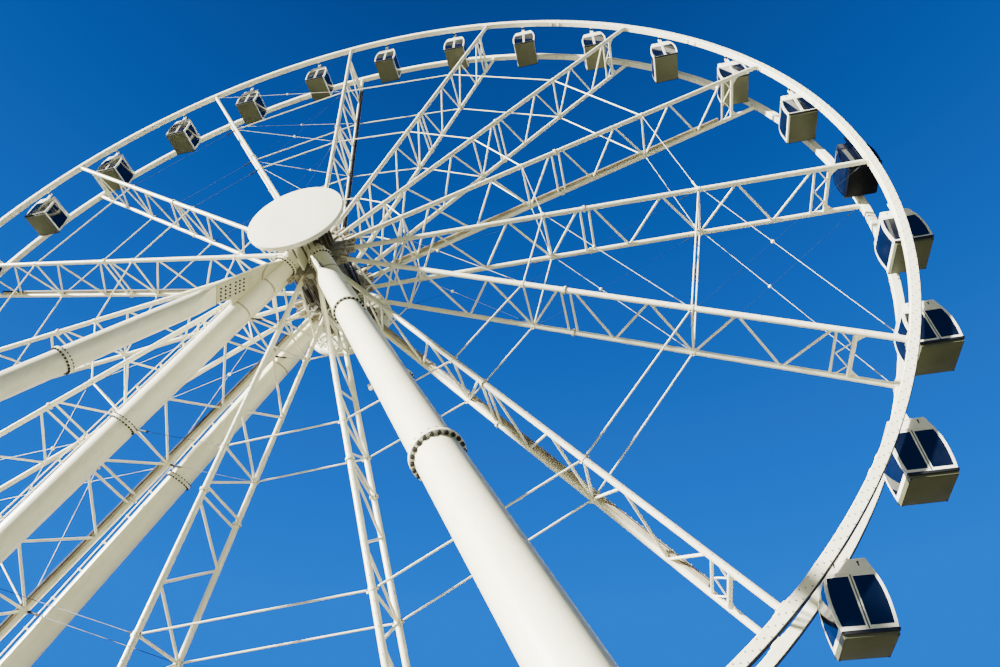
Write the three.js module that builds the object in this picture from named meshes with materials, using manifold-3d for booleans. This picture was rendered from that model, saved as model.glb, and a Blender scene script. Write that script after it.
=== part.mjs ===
// Transportable ferris wheel with 15 lattice spokes and 30 closed cabins, modelled at half size.
// Millimetres, +Z up, wheel axle along Y, near face towards -Y, origin on the ground under the hub.
import * as THREE from 'three'
import { mergeVertices } from 'three/addons/utils/BufferGeometryUtils.js'
import Module from 'manifold-3d'

const wasm = await Module()
wasm.setup()

// Driving dimensions of the half-size model
const HUB_Z = 15500
const RIM_INNER = 13500
const RIM_DEPTH = 170
const RIM_WIDTH = 160
const RING_Y = 628
const HUB_RING_Y = 684
const SPOKES = 15
const CABINS = 30
const DARK_CABIN = 11
const OPEN_BAY = 0
const WIRE_BAYS = [5, 10]
const REST_ANGLE = 142.967
const GAP = 0.3

// Spoke lattice: radii along the spoke of the nodes on the near and far chords
const CHORD_R = 60
const BRACE_R = 26
const CHORD_START = 900
const POST_RADII = [2470, 6000, 9730]
const END_POST_RADIUS = 12680
const END_POST_R = 32
const INNER_ZIGZAG = [[1715, 1], [2470, -1]]
const LOWER_ZIGZAG = [[2470, 1], [3250, -1], [4265, 1], [5105, -1], [6000, 1], [6845, -1]]
const UPPER_ZIGZAG = [[7210, -1], [7990, 1], [8855, -1], [9730, 1], [10600, -1], [11475, 1], [12300, -1]]

// Strut polygons that hold the spokes apart, with a clamp round the outer side of each chord
const STRUT_RADII = { middle: 6000, outer: 9730 }
const STRUT_R = 23
const WIRE_R = 10
const CLAMP = { halfLength: 45, halfWidth: 82, outward: 80, inward: -30 }

// Cabin, measured from its pivot
const CABIN_HALF_Y = 413
const CABIN_FLOOR_Z = -1305
const CABIN_WALL = 18
const CABIN_FLOOR_THICK = 80
const CABIN_PROFILE = [[344, CABIN_FLOOR_Z], [400, -810], [343, -405], [278, -205]]
const PIVOT_R = RIM_INNER + RIM_DEPTH / 2
const PIN_R = 26
const PIN_END_Y = 386

// Hub, heads and cover discs
const SHAFT_R = 250
const SHAFT_END_Y = 1640
const DRUM_R = 520
const HUB_FLANGE_IN_Y = 600
const DRUM_END_Y = 752
const WHEEL_SPACE_Y = 772
const HEAD_IN_Y = 860
const HEAD_OUT_Y = 1660
const HEAD_R = 520
const BORE_SIDES = 16
const BORE_R = (SHAFT_R + GAP) / Math.cos(Math.PI / BORE_SIDES)
const DISC_R = 1233
const DISC_IN_Y = 1755
const DISC_OUT_Y = 1915

// Legs: a point and a slope for each tube centreline, both measured from the hub centre
const LEG_TOP = { x: 1170, y: 1045, z: -2025, slopeX: 0.5564, slopeY: 0.0107, radius: 255 }
const OUTRIGGER_TOP = { x: 1018, y: 1637, z: -2025, slopeX: 0.5162, slopeY: 0.4486, radius: 236 }
const LEG_FLANGES = [-5320, -10395]
const OUTRIGGER_FLANGES = [-5500, -10450]
const OUTRIGGER_END_Z = -3000
const NECK_TOP_Z = -300
const LEG_HEAD_Z = -760
const FLANGE_THICK = 30
const FLANGE_EXTRA_R = 46
const KNEE_THICK = 44
const KNEE_ORIGIN_Z = -1500
const KNEE_OUTLINE = [
  [-690, -60],
  [-690, 175],
  [-100, 285],
  [1640, 275],
  [2250, 225],
  [2250, -225],
  [1300, -220],
  [930, -280],
  [850, -730],
]
const FOOT_TOP_Z = 330

// Base and boarding platform
const BEAM_H = 300
const BEAM_W = 320
const DECK_TOP = 560
const DECK_THICK = 60
const DECK_HALF_X = 2100
const DECK_IN_Y = 450
const DECK_OUT_Y = 1500
const RAIL_H = 550
const FLOOR_TOP = 350
const RAIL_R = 22
const GATE_HALF_X = 930
const STEP_COUNT = 5
const STEP_RISE = 94
const STEP_RUN = 140

const deg = (angle) => (angle * Math.PI) / 180
const vec = (x, y, z) => new THREE.Vector3(x, y, z)

function toSolid(geometry) {
  const bare = geometry.index ? geometry.toNonIndexed() : geometry.clone()
  bare.deleteAttribute('normal')
  bare.deleteAttribute('uv')
  const merged = mergeVertices(bare, 1e-3)
  const vertProperties = new Float32Array(merged.attributes.position.array)
  const triVerts = new Uint32Array(merged.index.array)
  return new wasm.Manifold(new wasm.Mesh({ numProp: 3, vertProperties, triVerts }))
}

function toGeometry(solid) {
  const mesh = solid.getMesh()
  const geometry = new THREE.BufferGeometry()
  geometry.setAttribute('position', new THREE.BufferAttribute(new Float32Array(mesh.vertProperties), 3))
  geometry.setIndex(new THREE.BufferAttribute(new Uint32Array(mesh.triVerts), 1))
  geometry.computeVertexNormals()
  return geometry
}

const joinAll = (solids) => solids.reduce((whole, piece) => whole.add(piece))

// Straight round bar of few sides between two points
function bar(from, to, radius, sides = 4, turn = 0) {
  const along = to.clone().sub(from)
  const geometry = new THREE.CylinderGeometry(radius, radius, along.length(), sides)
  geometry.rotateY(turn)
  const middle = from.clone().add(to).multiplyScalar(0.5)
  const quaternion = new THREE.Quaternion().setFromUnitVectors(vec(0, 1, 0), along.clone().normalize())
  geometry.applyQuaternion(quaternion)
  geometry.translate(middle.x, middle.y, middle.z)
  return toSolid(geometry)
}

function box(low, high) {
  const size = high.clone().sub(low)
  const geometry = new THREE.BoxGeometry(size.x, size.y, size.z)
  const middle = low.clone().add(high).multiplyScalar(0.5)
  geometry.translate(middle.x, middle.y, middle.z)
  return toSolid(geometry)
}

// Outline in the XZ plane, extruded along Y from one depth to another
function plateXZ(outline, fromY, toY, holes = []) {
  const toShape = (points, Kind) => new Kind(points.map(([x, z]) => new THREE.Vector2(x, z)))
  const shape = toShape(outline, THREE.Shape)
  shape.holes = holes.map((points) => toShape(points, THREE.Path))
  const geometry = new THREE.ExtrudeGeometry(shape, { depth: toY - fromY, bevelEnabled: false })
  geometry.rotateX(Math.PI / 2)
  geometry.translate(0, toY, 0)
  return toSolid(geometry)
}

// Regular polygon in the XZ plane, given by the distance to its flats
function polygon(apothem, sides, turn = 0) {
  const radius = apothem / Math.cos(Math.PI / sides)
  const corner = (index) => turn + ((index + 0.5) * 2 * Math.PI) / sides
  return Array.from({ length: sides }, (_, index) => [
    radius * Math.cos(corner(index)),
    radius * Math.sin(corner(index)),
  ])
}

// Turned body about the Y axis from [radius, y] pairs that close on themselves
function turned(profile, sides) {
  const backwards = THREE.ShapeUtils.area(profile.map(([x, y]) => ({ x, y }))) < 0
  const outline = backwards ? profile.slice().reverse() : profile
  const closed = outline[0][0] === 0 ? outline : [...outline, outline[0]]
  const points = closed.map(([radius, y]) => new THREE.Vector2(radius, y))
  return toSolid(new THREE.LatheGeometry(points, sides))
}

const paint = (color, roughness = 0.45, metalness = 0.15) =>
  new THREE.MeshStandardMaterial({ color, roughness, metalness })

const CREAM = '#e9e4d2'
const BEIGE = '#cfc8b0'
const WHITE = '#f1efe8'
const NAVY = '#12182b'
const GREY = '#8d8f8c'

const group = new THREE.Group()

function place(name, solid, color, parent = group) {
  const mesh = new THREE.Mesh(toGeometry(solid), paint(color))
  mesh.name = name
  parent.add(mesh)
  return mesh
}

// Half distance between the chords at a radius
function chordY(radius) {
  const share = (radius - CHORD_START) / (RIM_INNER - CHORD_START)
  return HUB_RING_Y + (RING_Y - HUB_RING_Y) * share
}

const chordPoint = (radius, side) => vec(radius, side * chordY(radius), 0)

function chord(side, extra = 0) {
  const start = chordPoint(CHORD_START, side)
  const end = chordPoint(RIM_INNER - GAP, side)
  return bar(start, end, CHORD_R + extra, 8, deg(22.5))
}

function zigzag(nodes) {
  return nodes.slice(1).map(([radius, side], index) => {
    const [fromRadius, fromSide] = nodes[index]
    return bar(chordPoint(fromRadius, fromSide), chordPoint(radius, side), BRACE_R, 4, deg(45))
  })
}

const post = (radius, size) => bar(chordPoint(radius, -1), chordPoint(radius, 1), size, 4, deg(45))

// Flat truss: near and far chord with the posts and diagonals between them
function spoke() {
  return joinAll([
    chord(-1),
    chord(1),
    ...POST_RADII.map((radius) => post(radius, BRACE_R)),
    post(END_POST_RADIUS, END_POST_R),
    ...zigzag(INNER_ZIGZAG),
    ...zigzag(LOWER_ZIGZAG),
    ...zigzag(UPPER_ZIGZAG),
  ])
}

function clamp(radius, side) {
  const y = chordY(radius)
  const ys = [side * (y + CLAMP.inward), side * (y + CLAMP.outward)].sort((a, b) => a - b)
  const low = vec(radius - CLAMP.halfLength, ys[0], -CLAMP.halfWidth)
  const high = vec(radius + CLAMP.halfLength, ys[1], CLAMP.halfWidth)
  return box(low, high).subtract(chord(side, GAP * 1.2))
}

// Strut from one clamp to the next, clear of both chords
function strut(radius, side, thickness) {
  const from = chordPoint(radius, side)
  const to = from.clone().applyAxisAngle(vec(0, 1, 0), deg(360 / SPOKES))
  const step = to.clone().sub(from).normalize().multiplyScalar(CLAMP.halfWidth - 12)
  return bar(from.add(step), to.sub(step), thickness, 4, deg(45 + 180 / SPOKES))
}

// Polygon of struts on one side of the wheel: every fifth bay has a taut wire in place of the strut,
// and the bay between the first two spokes is left open
function strutPolygon(radius, side) {
  const oneClamp = clamp(radius, side)
  const oneStrut = strut(radius, side, STRUT_R)
  const oneWire = strut(radius, side, WIRE_R)
  const pieces = []
  for (let index = 0; index < SPOKES; index += 1) {
    const turn = [0, index * (360 / SPOKES), 0]
    pieces.push(oneClamp.rotate(turn))
    const link = WIRE_BAYS.includes(index) ? oneWire : oneStrut
    if (index !== OPEN_BAY) pieces.push(link.rotate(turn))
  }
  return joinAll(pieces)
}

// Ring of 60 straight lengths with a pin for each cabin on its inner side
function rim(side) {
  const outer = polygon(RIM_INNER + RIM_DEPTH, 60)
  const inner = polygon(RIM_INNER, 60).reverse()
  const ring = plateXZ(outer, side * RING_Y - RIM_WIDTH / 2, side * RING_Y + RIM_WIDTH / 2, [inner])
  const pins = Array.from({ length: CABINS }, (_, index) => {
    const angle = deg(6 + index * 12)
    const x = PIVOT_R * Math.cos(angle)
    const z = PIVOT_R * Math.sin(angle)
    return bar(vec(x, side * PIN_END_Y, z), vec(x, side * (RING_Y - 60), z), PIN_R, 4)
  })
  return joinAll([ring, ...pins])
}

// Shaft with a thick flange on each side; its flats face the ends of the chords
function spindle() {
  const corner = (CHORD_START - 2 * GAP) / Math.cos(Math.PI / 30)
  const half = [
    [0, SHAFT_END_Y],
    [SHAFT_R, SHAFT_END_Y],
    [SHAFT_R, DRUM_END_Y],
    [corner, DRUM_END_Y],
    [corner, HUB_FLANGE_IN_Y],
    [DRUM_R, HUB_FLANGE_IN_Y],
  ]
  const mirrored = half.map(([radius, y]) => [radius, -y])
  return turned([...mirrored, ...half.reverse()], 30)
}

// Point on a leg centreline at a height measured from the hub centre
function legPoint(leg, z, sideX, sideY) {
  const drop = leg.z - z
  return vec(sideX * (leg.x + leg.slopeX * drop), sideY * (leg.y + leg.slopeY * drop), z)
}

function legDirection(leg, sideX, sideY) {
  return vec(sideX * leg.slopeX, sideY * leg.slopeY, -1).normalize()
}

function tube(leg, topZ, bottomZ, sideX, sideY) {
  return bar(legPoint(leg, topZ, sideX, sideY), legPoint(leg, bottomZ, sideX, sideY), leg.radius, 12)
}

function flangeAt(leg, z, sideX, sideY) {
  const centre = legPoint(leg, z, sideX, sideY)
  const step = legDirection(leg, sideX, sideY).multiplyScalar(FLANGE_THICK)
  return bar(centre.clone().sub(step), centre.clone().add(step), leg.radius + FLANGE_EXTRA_R, 12)
}

// Plate in the plane of a leg and its outrigger; its outline is measured down the outrigger's
// centreline and across it, away from the leg
function kneePlate(sideX, sideY) {
  const origin = legPoint(OUTRIGGER_TOP, KNEE_ORIGIN_Z, sideX, sideY)
  const along = legDirection(OUTRIGGER_TOP, sideX, sideY)
  const toLeg = legPoint(LEG_TOP, KNEE_ORIGIN_Z, sideX, sideY).sub(origin)
  const across = toLeg.addScaledVector(along, -toLeg.dot(along)).normalize().negate()
  const normal = along.clone().cross(across)
  const outline = KNEE_OUTLINE.map(([down, away]) => new THREE.Vector2(down, away))
  const settings = { depth: KNEE_THICK, bevelEnabled: false }
  const geometry = new THREE.ExtrudeGeometry(new THREE.Shape(outline), settings)
  geometry.translate(0, 0, -KNEE_THICK / 2)
  const frame = new THREE.Matrix4().makeBasis(along, across, normal)
  geometry.applyMatrix4(frame.setPosition(origin))
  return toSolid(geometry)
}

const footPlate = (leg, sideX, sideY) => {
  const centre = legPoint(leg, FOOT_TOP_Z - HUB_Z, sideX, sideY)
  const reach = leg.radius * 1.5
  const low = vec(centre.x - reach, centre.y - reach, BEAM_H + GAP - HUB_Z)
  const high = vec(centre.x + reach, centre.y + reach, BEAM_H + 60 - HUB_Z)
  return box(low, high)
}

// Everything below the foot plate's underside is cut off level
function cutLevel(solid) {
  const floor = box(vec(-20000, -20000, -HUB_Z - 2000), vec(20000, 20000, BEAM_H + GAP - HUB_Z))
  return solid.subtract(floor)
}

// One tube with its flanges and foot plate, still long at the bottom
function tubePieces(leg, topZ, flanges, sideX, sideY) {
  const rings = flanges.map((z) => flangeAt(leg, z, sideX, sideY))
  return [tube(leg, topZ, 200 - HUB_Z, sideX, sideY), footPlate(leg, sideX, sideY), ...rings]
}

function mainLeg(sideX, sideY) {
  const down = legDirection(LEG_TOP, sideX, sideY)
  const top = legPoint(LEG_TOP, LEG_HEAD_Z, sideX, sideY).addScaledVector(down, GAP)
  const topFlangeEnd = top.clone().addScaledVector(down, FLANGE_THICK)
  const topFlange = bar(top, topFlangeEnd, LEG_TOP.radius + FLANGE_EXTRA_R, 12)
  const tubeTopZ = LEG_HEAD_Z - FLANGE_THICK / 2
  return [topFlange, ...tubePieces(LEG_TOP, tubeTopZ, LEG_FLANGES, sideX, sideY)]
}

function outrigger(sideX, sideY) {
  const pieces = tubePieces(OUTRIGGER_TOP, OUTRIGGER_END_Z, OUTRIGGER_FLANGES, sideX, sideY)
  return [kneePlate(sideX, sideY), ...pieces]
}

// A leg, joined to its outrigger by the knee plate where it has one
function legSolid(sideX, sideY, withOutrigger) {
  const pieces = mainLeg(sideX, sideY)
  if (withOutrigger) pieces.push(...outrigger(sideX, sideY))
  return cutLevel(joinAll(pieces)).subtract(wheelSpace())
}

// Room that the turning hub needs between the heads
const wheelSpace = () => box(vec(-3000, -WHEEL_SPACE_Y, -3000), vec(3000, WHEEL_SPACE_Y, 3000))

// Bearing housing with a neck to each main leg, a rib between them and the cover disc
function hubHead(side) {
  const mirrored = (solid) => (side > 0 ? solid : solid.rotate([180, 0, 0]))
  const housing = turned(
    [[BORE_R, HEAD_IN_Y], [HEAD_R, HEAD_IN_Y], [HEAD_R, HEAD_OUT_Y], [BORE_R, HEAD_OUT_Y]],
    BORE_SIDES,
  )
  const cover = turned(
    [
      [0, HEAD_OUT_Y - 1],
      [HEAD_R, HEAD_OUT_Y - 1],
      [HEAD_R, DISC_IN_Y],
      [DISC_R, DISC_IN_Y],
      [DISC_R, DISC_OUT_Y],
      [0, DISC_OUT_Y],
    ],
    32,
  )
  const bore = bar(vec(0, -side * 100, 0), vec(0, side * HEAD_OUT_Y, 0), BORE_R, BORE_SIDES)
  const body = joinAll([mirrored(housing), ...necks(side), rib(side)])
  return body.subtract(bore).subtract(wheelSpace()).add(mirrored(cover))
}

function necks(side) {
  return [-1, 1].map((sideX) => {
    const bottom = legPoint(LEG_TOP, LEG_HEAD_Z, sideX, side)
    const step = legDirection(LEG_TOP, sideX, side).multiplyScalar(FLANGE_THICK)
    const neck = bar(legPoint(LEG_TOP, NECK_TOP_Z, sideX, side), bottom, LEG_TOP.radius, 12)
    return neck.add(bar(bottom.clone().sub(step), bottom, LEG_TOP.radius + FLANGE_EXTRA_R, 12))
  })
}

function rib(side) {
  const outline = [[-90, -300], [-60, -900], [60, -900], [90, -300]]
  const low = Math.min(side * 900, side * 1700)
  const high = Math.max(side * 900, side * 1700)
  return plateXZ(outline, low, high)
}

function mirrorProfile(points) {
  const right = points.map(([x, z]) => [x, z])
  const left = points.map(([x, z]) => [-x, z]).reverse()
  return [...right, ...left]
}

function cabinLug(side) {
  const outline = [[-60, -215], [60, -215], [48, 40], [-48, 40]]
  const hole = polygon(PIN_R + GAP, 4, deg(REST_ANGLE)).reverse()
  const from = side > 0 ? CABIN_HALF_Y - 22 : -CABIN_HALF_Y
  return plateXZ(outline, from, from + 22, [hole])
}

// Doorway through the near and far faces, from the floor up, its sides following the curved wall
function doorways() {
  const sill = CABIN_FLOOR_Z + CABIN_FLOOR_THICK
  return plateXZ(mirrorProfile([[318, sill], [352, -810], [306, -470]]), -600, 600)
}

// Closed cabin shell: outer body, hollow inside, doorways and side windows cut through, hanger lugs
function cabin() {
  const outer = plateXZ(mirrorProfile(CABIN_PROFILE), -CABIN_HALF_Y, CABIN_HALF_Y)
  const inside = [
    [344 - CABIN_WALL, CABIN_FLOOR_Z + CABIN_FLOOR_THICK],
    [400 - CABIN_WALL, -810],
    [343 - CABIN_WALL, -405 - CABIN_WALL],
    [278 - CABIN_WALL, -205 - CABIN_WALL],
  ]
  const hollow = plateXZ(mirrorProfile(inside), -CABIN_HALF_Y + CABIN_WALL, CABIN_HALF_Y - CABIN_WALL)
  const sideWindow = box(vec(-600, -330, -1120), vec(600, 330, -480))
  const lugs = [-1, 1].map((side) => cabinLug(side))
  return joinAll([outer, ...lugs]).subtract(hollow).subtract(doorways()).subtract(sideWindow)
}

// Box beams on the ground: a wide one under the feet at each end and two long ones between them
function baseFrame() {
  const mainFoot = legPoint(LEG_TOP, -HUB_Z, 1, 1)
  const farFoot = legPoint(OUTRIGGER_TOP, -HUB_Z, 1, 1)
  const innerX = farFoot.x - 380
  const outerX = mainFoot.x + 400
  const reachY = farFoot.y + 420
  const ends = [-1, 1].map((side) => {
    const xs = [side * innerX, side * outerX].sort((a, b) => a - b)
    return box(vec(xs[0], -reachY, 0), vec(xs[1], reachY, BEAM_H))
  })
  const beams = [-1, 1].map((side) => {
    const y = side * mainFoot.y
    return box(vec(-innerX - 50, y - BEAM_W / 2, 0), vec(innerX + 50, y + BEAM_W / 2, BEAM_H))
  })
  return joinAll([...ends, ...beams])
}

function boxBetween(x0, x1, y0, y1, z0, z1) {
  const low = vec(Math.min(x0, x1), Math.min(y0, y1), Math.min(z0, z1))
  const high = vec(Math.max(x0, x1), Math.max(y0, y1), Math.max(z0, z1))
  return box(low, high)
}

// Deck on one side of the path of the cabins, with its support walls, steps and railing
function deck(side) {
  const inY = side * DECK_IN_Y
  const outY = side * DECK_OUT_Y
  const under = DECK_TOP - DECK_THICK
  const pieces = [boxBetween(-DECK_HALF_X, DECK_HALF_X, inY, outY, under - 5, DECK_TOP)]
  for (const x of [-DECK_HALF_X + 60, DECK_HALF_X - 100]) {
    pieces.push(boxBetween(x, x + 40, inY + side * 30, outY - side * 30, FLOOR_TOP - 5, under))
  }
  return [...pieces, stairs(side), ...railing(side)]
}

// Solid flight of steps from the ground up to the outer edge of a deck
function stairs(side) {
  const outline = [[DECK_OUT_Y - 5, 0], [DECK_OUT_Y - 5, DECK_TOP - STEP_RISE]]
  for (let step = 1; step <= STEP_COUNT; step += 1) {
    const edge = DECK_OUT_Y + step * STEP_RUN
    const top = DECK_TOP - step * STEP_RISE
    outline.push([edge, top], [edge, step === STEP_COUNT ? 0 : top - STEP_RISE])
  }
  const turn = side > 0 ? -90 : 90
  return plateXZ(outline.reverse(), -900, 900).rotate([0, 0, turn]).mirror([side, 0, 0])
}

const railPost = (x, y) => {
  return bar(vec(x, y, DECK_TOP - 5), vec(x, y, DECK_TOP + RAIL_H), RAIL_R, 4, deg(45))
}

const handrail = (from, to) => bar(from, to, RAIL_R * 1.2, 4, deg(45))

// Posts and handrails along the outer edge, open at the steps, and along the two ends
function railing(side) {
  const outY = side * (DECK_OUT_Y - 30)
  const inY = side * (DECK_IN_Y + 60)
  const top = DECK_TOP + RAIL_H
  const reach = RAIL_R * 1.4
  const pieces = []
  for (const sideX of [-1, 1]) {
    const endX = sideX * (DECK_HALF_X - 30)
    const gateX = sideX * GATE_HALF_X
    pieces.push(...[endX, (endX + gateX) / 2, gateX].map((x) => railPost(x, outY)), railPost(endX, inY))
    pieces.push(handrail(vec(endX + sideX * reach, outY, top), vec(gateX - sideX * reach, outY, top)))
    pieces.push(handrail(vec(endX, inY - side * reach, top), vec(endX, outY + side * reach, top)))
  }
  return pieces
}

// Low floor over the beams with a deck on each side
function platform() {
  const floor = boxBetween(-DECK_HALF_X, DECK_HALF_X, -DECK_OUT_Y, DECK_OUT_Y, BEAM_H + GAP, FLOOR_TOP)
  return joinAll([floor, ...deck(-1), ...deck(1)])
}

const wheel = new THREE.Group()
wheel.position.set(0, 0, HUB_Z)
group.add(wheel)

const spokeGeometry = toGeometry(spoke())
for (let index = 0; index < SPOKES; index += 1) {
  const mesh = new THREE.Mesh(spokeGeometry, paint(CREAM))
  mesh.name = `spoke_${String(index + 1).padStart(2, '0')}`
  mesh.rotation.y = -deg(REST_ANGLE - index * (360 / SPOKES))
  wheel.add(mesh)
}

const rotor = new THREE.Group()
rotor.rotation.y = -deg(REST_ANGLE)
wheel.add(rotor)
for (const [row, side] of [['near', -1], ['far', 1]]) {
  place(`${row}_rim`, rim(side), CREAM, rotor)
  for (const [level, radius] of Object.entries(STRUT_RADII)) {
    place(`${row}_${level}_struts`, strutPolygon(radius, side), CREAM, rotor)
  }
}
place('hub_spindle', spindle(), GREY, rotor)

const cabinGeometry = toGeometry(cabin())
for (let index = 0; index < CABINS; index += 1) {
  const angle = deg(REST_ANGLE - 6 - index * (360 / CABINS))
  const mesh = new THREE.Mesh(cabinGeometry, paint(index === DARK_CABIN ? NAVY : WHITE))
  mesh.name = `cabin_${String(index + 1).padStart(2, '0')}`
  mesh.position.set(PIVOT_R * Math.cos(angle), 0, PIVOT_R * Math.sin(angle))
  wheel.add(mesh)
}

place('near_hub_head', hubHead(-1), WHITE, wheel)
place('far_hub_head', hubHead(1), WHITE, wheel)
for (const [column, sideX] of [['left', -1], ['right', 1]]) {
  place(`near_${column}_legs`, legSolid(sideX, -1, true), CREAM, wheel)
  place(`far_${column}_leg`, legSolid(sideX, 1, false), CREAM, wheel)
}
place('base_frame', baseFrame(), BEIGE)
place('boarding_platform', platform(), GREY)

export default group
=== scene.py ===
"""Looks for the 1:2 scale ferris wheel. Metres, +Z up, axle along Y, near face towards -Y."""

from math import cos, pi, radians, sin

import bmesh
import bpy
from mathutils import Matrix, Vector


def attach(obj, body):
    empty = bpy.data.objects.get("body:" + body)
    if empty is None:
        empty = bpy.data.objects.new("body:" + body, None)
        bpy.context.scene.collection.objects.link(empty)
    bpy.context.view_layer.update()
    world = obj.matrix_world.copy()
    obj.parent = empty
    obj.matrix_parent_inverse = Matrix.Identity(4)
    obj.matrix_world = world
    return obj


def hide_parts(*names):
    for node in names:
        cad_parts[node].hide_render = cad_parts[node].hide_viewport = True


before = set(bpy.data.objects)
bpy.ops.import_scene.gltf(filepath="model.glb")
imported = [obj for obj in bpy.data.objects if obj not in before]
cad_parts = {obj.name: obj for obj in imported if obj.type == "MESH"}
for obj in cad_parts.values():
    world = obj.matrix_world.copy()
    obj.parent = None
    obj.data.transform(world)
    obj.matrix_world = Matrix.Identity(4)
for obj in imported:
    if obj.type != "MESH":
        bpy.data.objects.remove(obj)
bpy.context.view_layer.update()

# Sizes of the wheel in metres, as in the solids, where the struts and wires are thicker
HUB = Vector((0, 0, 15.5))
OUTWARD, AXLE, UP = Vector((1, 0, 0)), Vector((0, 1, 0)), Vector((0, 0, 1))
SPOKES, CABINS = 15, 30
# Angle of the first spoke at rest, and the steps from one to the next
REST, SPOKE_STEP, CABIN_STEP = radians(142.967), radians(24), radians(12)
SPOKE_TURNS = [-SPOKE_STEP * index for index in range(SPOKES)]
RIM_IN, RIM_OUT = 13.5, 13.67
RING_Y, RIM_HALF = 0.628, 0.08
PIVOT_R = 13.585
CHORD_R, BRACE_R, STRUT_R, LACE_R = 0.060, 0.026, 0.018, 0.014
WIRE_R, STAY_R, BALL_R = 0.006, 0.0042, 0.042
# Gap between parts that rest on each other
SEAT = 0.0003
CHORD_START, HUB_RING_Y = 0.9, 0.684
STRUT_RADII = {"inner": 2.47, "middle": 6.0, "outer": 9.73}
# Along a spoke: its bolted joint with a post on both sides, and the laced field before the rim
JOINT_RADIUS, JOINT_POST = 7.01, 0.105
LACED_FROM, END_POST = 12.355, 12.68
# Nodes of the diagonals as (radius, side), one run between posts at a time
BRACE_RUNS = (
    ((1.22, -1), (1.715, 1), (2.47, -1)),
    ((2.47, 1), (3.25, -1), (4.265, 1), (5.105, -1), (6.0, 1), (6.845, -1)),
    ((7.21, -1), (7.99, 1), (8.855, -1), (9.73, 1), (10.6, -1), (11.475, 1), (12.3, -1)),
)
LACING = ((12.40, -1), (12.63, -0.5), (12.40, 0), (12.63, 0.5), (12.40, 1))
# Bays, spokes and cabins counted from 0, clockwise from the first spoke, seen from the near side:
# bays with wires in place of struts, and those of them whose wires are painted bright as a highlight; the
# others are painted dark as shade
WIRE_BAYS, BRIGHT_TIES = (0, 5, 10), (5,)
# bays with crossed stays, and which of the two is painted bright as a highlight, the other dark as painted
# shade
BRIGHT_STAYS = {1: (1,), 6: (0,), 11: (0, 1)}
# spokes with a cable tray, and its flank
TRAY_SPOKES = {2: -1, 5: 1, 8: 1, 11: -1, 14: -1}
HOSE_SPOKES, DARK_CABIN = (5, 8), 11


def colour(code):
    """sRGB hex to the linear colour that the shaders take."""
    channels = [int(code[i : i + 2], 16) / 255 for i in (1, 3, 5)]
    linear = [c / 12.92 if c <= 0.04045 else ((c + 0.055) / 1.055) ** 2.4 for c in channels]
    return (*linear, 1.0)


def add_node(tree, kind, settings=None, links=None):
    """One node: settings are its properties or the values of its inputs, links are input: (node, output)."""
    node = tree.nodes.new("ShaderNode" + kind)
    for key, value in (settings or {}).items():
        if isinstance(key, int) or key in node.inputs:
            node.inputs[key].default_value = value
        else:
            setattr(node, key, value)
    for key, (source, output) in (links or {}).items():
        tree.links.new(source.outputs[output], node.inputs[key])
    return node


# Numbers of the sockets of a colour mix and of a range, whose names are shared by several sockets
SHARE, FIRST, SECOND, MIXED = 0, 6, 7, 2
FROM_LOW, FROM_HIGH, TO_LOW, TO_HIGH = 1, 2, 3, 4


def blank_material(name):
    """Material, its empty tree and the link that gives a pattern its place, in metres."""
    material = bpy.data.materials.new(name)
    material.use_nodes = True
    tree = material.node_tree
    tree.nodes.clear()
    return material, tree, {"Vector": (add_node(tree, "TexCoord"), "Object")}


def close_material(tree, even, surface, gloss=None, bump=None):
    """Shader with its output: settings that are even all over, and the colour, gloss and relief that vary."""
    varied = {"Base Color": (surface, MIXED)}
    if gloss:
        varied["Roughness"] = (gloss, 0)
    if bump:
        varied["Normal"] = (bump, 0)
    shader = add_node(tree, "BsdfPrincipled", even, varied)
    add_node(tree, "OutputMaterial", {}, {"Surface": (shader, "BSDF")})


def two_tone(tree, low, high, source, first, second, most=1.0):
    """Colours mixed by how far a pattern lies between two values. First is a hex code or a mix before it."""
    limits = {FROM_LOW: low, FROM_HIGH: high, TO_HIGH: most}
    share = add_node(tree, "MapRange", limits, {"Value": (source, 0)})
    settings, links = {"data_type": "RGBA", SECOND: colour(second)}, {SHARE: (share, 0)}
    if isinstance(first, str):
        settings[FIRST] = colour(first)
    else:
        links[FIRST] = (first, MIXED)
    return add_node(tree, "Mix", settings, links)


def enamel(name, paint, weathered, grime, roughness=0.38, streak=0.25, rust=0.0, coat=0.15, shine=0.5):
    """Sprayed enamel on steel: broad chalky patches, rain streaks down Z and, where asked, rust specks."""
    material, tree, spot = blank_material(name)
    # chalking varies over about a metre of the real thing
    patches = add_node(tree, "TexNoise", {"Scale": 1.7, "Detail": 5.0, "Roughness": 0.6}, spot)
    surface = two_tone(tree, 0.38, 0.72, patches, paint, weathered)
    # rain streaks are 20 to 60 mm wide and long down the surface
    drawn = add_node(tree, "Mapping", {"Scale": (14.0, 14.0, 0.8)}, spot)
    streaks = add_node(tree, "TexNoise", {"Scale": 1.0, "Detail": 3.0}, {"Vector": (drawn, 0)})
    surface = two_tone(tree, 0.52, 0.78, streaks, surface, grime, streak)
    if rust:
        # rust breaks out in hard-edged patches of about 150 mm
        specks = add_node(tree, "TexNoise", {"Scale": 6.5, "Detail": 8.0, "Roughness": 0.7}, spot)
        surface = two_tone(tree, 0.66, 0.74, specks, surface, "#8a5a34", rust)
    # orange peel of the sprayed coat, drawn about four times as coarse as it is
    peel = add_node(tree, "TexNoise", {"Scale": 70.0, "Detail": 2.0}, spot)
    bump = add_node(tree, "Bump", {"Strength": 0.12, "Distance": 0.004}, {"Height": (peel, 0)})
    limits = {TO_LOW: roughness - 0.07, TO_HIGH: roughness + 0.12}
    gloss = add_node(tree, "MapRange", limits, {"Value": (patches, 0)})
    even = {"IOR": 1.5, "Specular IOR Level": shine, "Coat Weight": coat, "Coat Roughness": 0.25}
    close_material(tree, even, surface, gloss, bump)
    return material


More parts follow.
